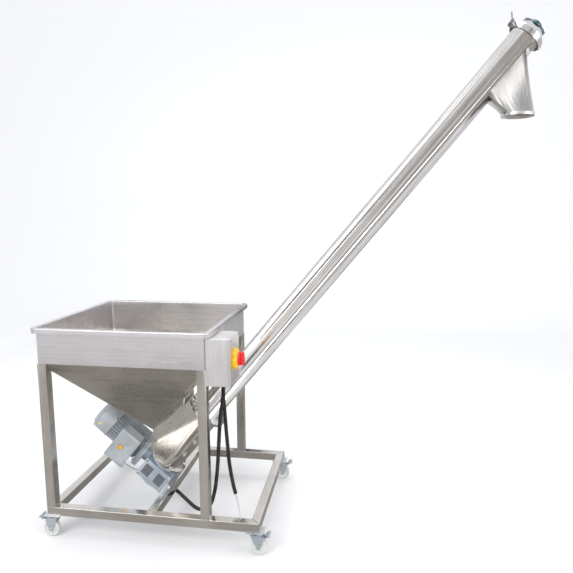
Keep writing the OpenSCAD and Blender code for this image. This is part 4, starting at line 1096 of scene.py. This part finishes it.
@dataclass
class Drive:
    """The worm gearbox, the motor and its terminal box."""

    centre_t: float = 94.5
    start_y: float = 63.0
    face_y: float = -72.0
    groove_pitch: float = 7.6
    groove_width: float = 5.0
    groove_length: float = 59.0

    def build(self, m: Machine) -> None:
        """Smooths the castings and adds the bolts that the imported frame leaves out."""
        for node, bevel in (
            ("gearbox_housing", 1.6),
            ("gearbox_cover", 1.4),
            ("worm_wheel", 0.4),
            ("worm_shaft", 0.4),
            ("motor_frame", 0.8),
            ("motor_rotor", 0.4),
            ("motor_fan", 0.3),
            ("fan_cowl", 0.6),
            ("terminal_box", 1.5),
            ("terminal_lid", 1.4),
        ):
            m.refine(node, bevel, 2, 30)
        self.paint_groove_shade(m)
        self.sign(m)
        self.plug(m)
        self.hub_ring(m)
        self.cowl_screws(m)

    def paint_groove_shade(self, m: Machine) -> None:
        """Fills the housing's twelve cooling grooves with near-black blocks as painted shade, and bolts the
        corners of its face.
        """
        # the black blocks laid in the grooves are painted shade, standing for the shade deep in each slot
        shells = []
        for side in (-1, 1):
            for k in range(6):
                up = -(side * 38 - 22 + k * self.groove_pitch)
                corner = m.at(65.0, up + 0.5, self.face_y - 0.15)
                long, wide = MM * self.groove_length * m.along, -MM * self.groove_width * m.up
                shells.append(brick(corner, long, wide, np.array([0.0, MM * 7.9, 0.0])))
        m.add(joined("gearbox_groove_shade", shells), "machine", "groove_painted_shade", "gear_alloy")
        bolts = []
        for t in (52, 137):
            for up in (-70, 70):
                bolts += hex_bolt(m.at(t, up, self.face_y + 0.1), np.array([0.0, -1.0, 0.0]), 0.0058, 0.0045)
        m.add(make_many("gearbox_bolts", bolts), "machine", "zinc", "gear_alloy")

    def sign(self, m: Machine) -> None:
        """Sticks a plain amber triangle on the terminal box's lid, with a dark border."""
        middle = m.at(101, 214, -80.0)
        turn = math.radians(90 + 6)
        a = np.linspace(0, 2 * np.pi, 60, endpoint=False)
        # a triangle's side lies 0.5 * reach from its middle; the corners are cut round at 0.9 * reach
        side = np.cos(np.mod(a, 2 * np.pi / 3) - np.pi / 3)
        for name, finish, reach, thick in (
            ("sign_border", "black_moulding", 22.0, 0.25), ("sign_face", "amber_label", 19.0, 0.45)
        ):
            spoke = np.minimum(0.5 * reach / side, 0.9 * reach)
            flat = np.stack([np.cos(a + turn), 0 * a, np.sin(a + turn)], -1)
            outline = middle + MM * spoke[:, None] * flat
            piece = joined(name, [badge(outline, middle, np.array([0.0, -1.0, 0.0]), MM * thick, 0.0001)])
            m.add(piece, "machine", finish, "motor_alloy")

    def plug(self, m: Machine) -> None:
        """Sets the small yellow plug into the fan cowl's side."""
        seat = m.at(85, 376, -14.6)
        shell = lathe(disc_profile(0.0068, 0.0034, 0.0012), seat, (0, -1, 0), 28)
        m.add(joined("cowl_plug", [shell]), "machine", "yellow_label", "motor_alloy")

    def hub_ring(self, m: Machine) -> None:
        """Turns the rolled rims round the motor's cowl: one where it meets the frame, one at its shoulder."""
        shells = []
        a = np.linspace(0, 2 * np.pi, 12, endpoint=False)
        for up, radius in ((319.5, 80.2), (403.5, 80.1)):
            profile = [(MM * (radius - 0.9 + 1.3 * math.cos(t)), MM * 2.0 * math.sin(t)) for t in a]
            verts, _ = lathe(profile, m.at(self.centre_t, up, self.start_y), m.up, 96)
            shells.append((verts, grid_faces(12, 96, True, True)))
        m.add(joined("cowl_rims", shells), "machine", "motor_alloy", "motor_alloy")

    def cowl_screws(self, m: Machine) -> None:
        """Drives four small screws through the cowl's skirt."""
        shells = []
        centre = m.at(self.centre_t, 327, self.start_y)
        for turn in (45, 135, 225, 315):
            out = math.cos(
                math.radians(turn)
            ) * m.along + math.sin(math.radians(turn)) * np.array([0.0, 1.0, 0.0])
            shells += hex_bolt(centre + 0.0795 * out, out, 0.0042, 0.003)
        m.add(make_many("cowl_screws", shells), "machine", "bright_steel", "motor_alloy")


@dataclass
class Controls:
    """The control box, its switch and the cable glands."""

    x: float = -171.04
    y: float = -288.0
    z: float = 861.5

    def build(self, m: Machine) -> None:
        """Draws the control box's pieces."""
        for node, bevel in (
            ("control_box", 1.5),
            ("control_lid", 1.2),
            ("cable_glands", 0.6),
        ):
            m.refine(node, bevel, 3, 30)
        self.switch(m)
        self.handle(m)
        self.box_screws(m)

    def switch(self, m: Machine) -> None:
        """Turns the switch's yellow base, whose edge has ten shallow scallops to hang a padlock in."""
        seat = MM * np.array([self.x, self.y, self.z])
        edge = [
            (0.0, -4.0), (42.0, -4.0), (44.2, 0.0), (44.6, 1.5), (44.6, 10.5), (43.6, 12.4), (41.2, 13.6)
        ]
        top = [(38.0, 14.2), (36.5, 16.8), (35.6, 19.0), (33.8, 19.9), (0.0, 19.9)]
        profile = [(MM * r, MM * z) for r, z in edge + top]
        base = joined("switch_base_fine", [lathe(profile, seat, (1, 0, 0), 160, 10, 0.04)], 30)
        m.add(base, "machine", "switch_yellow", "switch_yellow", "switch_base")

    def handle(self, m: Machine) -> None:
        """Builds the red handle: a knurled disc with a ribbed grip across it.

        The grip's plan at every height is a squared oval whose long sides carry seven ribs: its half-width is
        7.6 + 0.7 * cos(7 * pi * x / 28) less 2 * height ** 3, with the height as a share of the whole.
        """
        seat = MM * np.array([self.x + 20.3, self.y, self.z])
        profile = [(0, 0), (28.6, 0), (30.0, 1.4), (30.0, 6.2), (28.4, 7.8), (0, 7.8)]
        disc = lathe([(MM * r, MM * z) for r, z in profile], seat, (1, 0, 0), 168, 28, 0.014)
        h = np.concatenate([[0.0], np.linspace(0, 0.9, 8), [0.96, 0.99, 1.0, 1.0]])
        rows = []
        for share, level in zip(np.concatenate([[0.0], np.ones(8), [0.97, 0.9, 0.8, 0.0]]), h):
            plan = box_section(28.6 * share, 1.0, 5.0, 120)
            wide = (7.6 + 0.7 * np.cos(7 * np.pi * plan[:, 0] / 28) - 2 * level**3) * min(share, 1.0)
            rows.append(np.stack([np.full(120, 4.0 + 21.0 * level), plan[:, 1] * wide, plan[:, 0]], -1))
        grip = seat + MM * np.stack(rows)
        knob = joined("switch_handle_fine", [disc, (grip, grid_faces(len(rows), 120, False, True))], 35)
        m.add(knob, "switch_handle", "switch_red", "switch_red", "switch_handle")

    def box_screws(self, m: Machine) -> None:
        """Turns the four domed cover screws with their sunk sockets."""
        shells = []
        profile = [
            (0, -0.5), (4.4, -0.5), (4.4, 0.9), (3.8, 2.2), (2.6, 2.9), (1.7, 3.0), (1.6, 1.2), (0, 1.2)
        ]
        for y in (-349.5, -210.5):
            for z in (763.0, 952.0):
                seat = MM * np.array([self.x, y, z])
                shells.append(lathe([(MM * r, MM * h) for r, h in profile], seat, (1, 0, 0), 30))
        m.add(
            joined("lid_screws_fine", shells, 30), "machine", "bright_steel", "fastener_steel", "lid_screws"
        )


@dataclass
class Casters:
    """The four braked casters."""

    plate_bevel: float = 0.7
    fork_bevel: float = 0.8
    wheel_bevel: float = 1.6
    pedal_bevel: float = 1.0

    def build(self, m: Machine) -> None:
        """Rounds the plates, the forks, the wheels and the pedals."""
        m.refine("caster_plates", self.plate_bevel, 2, 30)
        for corner in CORNERS:
            m.refine("fork_" + corner, self.fork_bevel, 2, 30)
            m.refine("wheel_" + corner, self.wheel_bevel, 3, 30)
            m.refine("pedal_" + corner, self.pedal_bevel, 2, 30)


@dataclass
class Cable:
    """One corrugated conduit or smooth lead, drawn along its route."""

    node: str
    finish: str
    slot: str
    diameter: float
    ridge: float
    exit_at: str
    route: tuple[tuple[float, float, float], ...]

    def build(self, m: Machine) -> bpy.types.Object:
        """Sweeps the cable; a conduit's radius falls by its ridge between every two rings, 3.6 mm apart.

        The radius at length s is radius - ridge * (0.5 - 0.5 * cos(2 pi s / 3.6 mm)) ** 0.6.

        Args:
            m: the machine.

        Returns:
            The new piece.
        """
        radius = MM * self.diameter / 2
        path = smooth_path(self.route, 0.0006 if self.ridge else 0.003)
        s = np.arange(len(path)) * (path_length(path) / (len(path) - 1))
        radii = radius - MM * self.ridge * (0.5 - 0.5 * np.cos(2 * np.pi * s / 0.0036)) ** 0.6
        verts, faces = sweep(path, radii, 20)
        piece = make_piece(self.node + "_fine", verts, faces, 75)
        m.add(piece, "machine", self.finish, self.slot, self.node)
        return piece


@dataclass
class Studio:
    """The camera, the floor, the lights and the sky."""

    place: tuple[float, float, float] = (0.3741, -2.4274, 1.4796)
    yaw: float = 8.490
    pitch: float = -8.041
    roll: float = -0.169
    lens: float = 33.35

    def camera(self) -> None:
        """Places the camera.

        It looks along (-sin yaw cos pitch, cos yaw cos pitch, sin pitch), turned about that line by the roll.
        """
        y, p, r = (math.radians(v) for v in (self.yaw, self.pitch, self.roll))
        ahead = np.array([-math.sin(y) * math.cos(p), math.cos(y) * math.cos(p), math.sin(p)])
        right = np.array([math.cos(y), math.sin(y), 0.0])
        up = np.cross(right, ahead)
        side = right * math.cos(r) + up * math.sin(r)
        top = -right * math.sin(r) + up * math.cos(r)
        data = bpy.data.cameras.new("camera")
        data.lens = self.lens
        data.sensor_width = 36.0
        data.clip_end = 60.0
        cam = bpy.data.objects.new("camera", data)
        rows = np.stack([side, top, -ahead, np.array(self.place)], -1)
        cam.matrix_world = Matrix([*rows.tolist(), [0.0, 0.0, 0.0, 1.0]])
        bpy.context.scene.collection.objects.link(cam)
        bpy.context.scene.camera = cam

    def floor(self) -> None:
        """Lays a pale floor that curves up into a wall behind: a quarter circle of 1.5 m radius."""
        run = np.linspace(-7.0, 4.0, 12)
        q = np.linspace(0, math.pi / 2, 16)[1:]
        ys = np.concatenate([run, 4.0 + 1.5 * np.sin(q), [5.5]])
        zs = np.concatenate([0 * run, 1.5 - 1.5 * np.cos(q), [8.0]])
        xs = np.linspace(-9, 9, 10)
        verts = np.stack(np.broadcast_arrays(xs[None, :], ys[:, None], zs[:, None]), -1)
        floor = make_piece("studio_floor", verts, grid_faces(len(ys), len(xs), False, False))
        mat = bpy.data.materials.new("floor_paint")
        mat.use_nodes = True
        sh = Shade(mat.node_tree)
        bsdf = mat.node_tree.nodes["Principled BSDF"]
        noise = sh.add("ShaderNodeTexNoise", {"Scale": 3.0, "Detail": 3.0})
        mat.node_tree.links.new(
            sh.mix(noise.outputs[0], (0.87, 0.87, 0.87, 1), (0.91, 0.91, 0.91, 1)),
            bsdf.inputs["Base Color"],
        )
        bsdf.inputs["Roughness"].default_value = 0.7
        floor.data.materials.append(mat)

    def lamp(
        self, name: str, place: Sequence[float], aim: Sequence[float], size: float, power: float
    ) -> None:
        """Hangs one large soft lamp that looks at a point."""
        data = bpy.data.lights.new(name, "AREA")
        data.shape = "RECTANGLE"
        data.size, data.size_y = size, size * 0.6
        data.energy = power
        lamp = bpy.data.objects.new(name, data)
        back = unit(np.array(place, float) - np.array(aim, float))
        side, top = frame_of(back)
        rows = np.stack([side, top, back, np.array(place, float)], -1)
        lamp.matrix_world = Matrix([*rows.tolist(), [0.0, 0.0, 0.0, 1.0]])
        bpy.context.scene.collection.objects.link(lamp)

    def flag(
        self, name: str, place: Sequence[float], aim: Sequence[float], wide: float, tall: float, tone: float
    ) -> None:
        """Stands a dark card that only reflections show, so that polished sheet has something to mirror."""
        back = unit(np.array(place, float) - np.array(aim, float))
        side, top = frame_of(back)
        u = np.linspace(-0.5, 0.5, 3)
        verts = np.array(place) + wide * u[:, None, None] * side + tall * u[None, :, None] * top
        card = make_piece(name, verts, grid_faces(3, 3, False, False))
        mat = bpy.data.materials.new(name + "_paint")
        mat.use_nodes = True
        mat.node_tree.nodes["Principled BSDF"].inputs["Base Color"].default_value = (
            tone, tone * 0.95, tone * 0.89, 1
        )
        card.data.materials.append(mat)
        card.visible_camera = False
        card.visible_shadow = False
        card.visible_diffuse = False

    def light(self) -> None:
        """Sets the sky and hangs the lamps and cards."""
        world = bpy.data.worlds.new("sky")
        world.use_nodes = True
        world.node_tree.nodes["Background"].inputs["Color"].default_value = (0.95, 0.96, 1.0, 1)
        world.node_tree.nodes["Background"].inputs["Strength"].default_value = 1.0
        bpy.context.scene.world = world
        bpy.context.scene.view_settings.view_transform = "Standard"
        self.lamp("key", (-2.4, -3.6, 3.6), (-0.3, 0, 0.8), 2.6, 95)
        self.lamp("side", (3.8, -1.6, 2.0), (0, 0, 1.0), 2.2, 45)
        self.lamp("top", (-0.4, 0.4, 4.8), (0, 0, 0.9), 3.2, 60)
        self.flag("card_near", (-0.6, -4.6, 3.3), (-0.3, 0, 1.0), 6.5, 1.6, 0.30)
        self.flag("card_right", (4.6, -2.6, 1.3), (0, 0, 1.0), 1.7, 3.0, 0.09)
        self.flag("card_left", (-4.4, -2.2, 1.2), (0, 0, 1.0), 1.4, 2.8, 0.12)
        self.flag("card_far", (-0.4, 4.6, 0.7), (-0.4, 0, 0.7), 7.0, 1.5, 0.14)
        self.flag("card_over", (-2.2, -0.6, 4.2), (0.0, 0, 1.2), 2.6, 5.0, 0.32)
        for k, (x, tone) in enumerate(((-2.2, 0.03), (-0.95, 0.02), (0.35, 0.04), (1.5, 0.02))):
            self.flag(f"card_post_{k}", (x, 3.4, 1.0), (x, 0, 1.0), 0.42, 2.0, tone)
        self.flag("card_ground", (0.0, 0.0, 0.0008), (0.0, 0.0, -1.0), 7.0, 7.0, 0.30)


SUPPLY_ROUTE = (
    (-238, -232, 748), (-238, -232, 710), (-237, -233, 672), (-235, -234, 634), (-232, -235, 596),
    (-229, -237, 558), (-227, -237, 520), (-224, -238, 482), (-221, -239, 444), (-218, -239, 406),
    (-215, -240, 368), (-210, -240, 330), (-204, -240, 292), (-197, -240, 255), (-188, -240, 218),
)
SUPPLY_LEAD_ROUTE = (
    (-188, -240, 218), (-185.5, -240, 209), (-183, -241, 200.5), (-180.5, -242.5, 192), (-177.5, -246, 184),
    (-174.5, -251, 177), (-171, -257, 171.5), (-168, -264, 166.5), (
        -164.5, -271.5, 162.5
    ), (-161.5, -279.5, 159.5),
    (-158.5, -288, 157.5), (-155.5, -296, 156), (-152.5, -305, 155), (-150, -313.5, 154), (-147, -322, 154),
)
MOTOR_ROUTE = (
    (-226, -268, 748), (-228, -268, 703), (-233, -268, 659), (-240, -268, 614), (-245, -268, 570),
    (-249, -268, 525), (-252, -268, 481), (-255, -268, 436), (-258, -268, 391), (-262, -268, 346),
    (-267, -268, 302), (-273, -268, 258), (-283, -266, 214), (-298, -260, 172), (-326, -248, 140),
    (-361, -228, 120), (-394, -200, 111), (-425, -168, 107), (-455, -134, 103), (-484, -101, 99),
    (-514, -68, 96), (-546, -36, 94),
)
MOTOR_LEAD_ROUTE = (
    (-546, -36, 94), (-561, -19.5, 92), (-576, -2.5, 89.5), (-590.5, 14, 87.5), (-606, 30, 85),
    (-622, 45.5, 83.5), (-639, 60, 81.5), (-657, 73.5, 80.5), (-676, 85.5, 80), (-695.5, 96, 80.5),
    (-716.5, 104.5, 82), (-738, 109.5, 84.5), (-760, 111.5, 89.5), (-781.5, 110, 96), (
        -801.5, 105.5, 104.5
    ),
    (-819.5, 98.5, 116), (-835.5, 90, 129), (-851, 81.5, 143), (-865.5, 73.5, 158), (-877.5, 64.5, 174.5),
    (-884, 54.5, 193), (-883, 43, 212.5), (-875, 34, 231), (-862, 28.5, 248.5), (-852.5, 12, 260),
    (-851.5, -10, 261),
)


@dataclass
class Cables:
    """The two conduits and the leads that come out of their ends."""

    conduits: tuple[Cable, ...] = (
        Cable("supply_conduit", "conduit_black", "conduit_black", 17.6, 1.6, "bare", SUPPLY_ROUTE),
        Cable("motor_conduit", "conduit_black", "conduit_black", 17.6, 1.6, "bare", MOTOR_ROUTE),
        Cable("supply_lead", "lead_grey", "lead_grey", 8.0, 0.0, "bare", SUPPLY_LEAD_ROUTE),
        Cable("motor_lead", "lead_grey", "lead_grey", 7.0, 0.0, "object", MOTOR_LEAD_ROUTE),
    )

    def build(self, m: Machine) -> None:
        """Draws every cable."""
        for cable in self.conduits:
            cable.build(m)


def main() -> None:
    """Builds the studio, the cables and every sub-assembly, in that order."""
    logging.basicConfig(level=logging.INFO, format="%(name)s: %(message)s")
    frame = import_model()
    studio = Studio()
    studio.camera()
    m = Machine(frame["nodes"], Palette(), piece_table())
    for part in (Cables(), BaseFrame(), Hopper(), Auger(), Drive(), Controls(), Casters()):
        part.build(m)
        LOG.info("%s is built", type(part).__name__)
    studio.floor()
    studio.light()


if __name__ == "__main__":
    main()
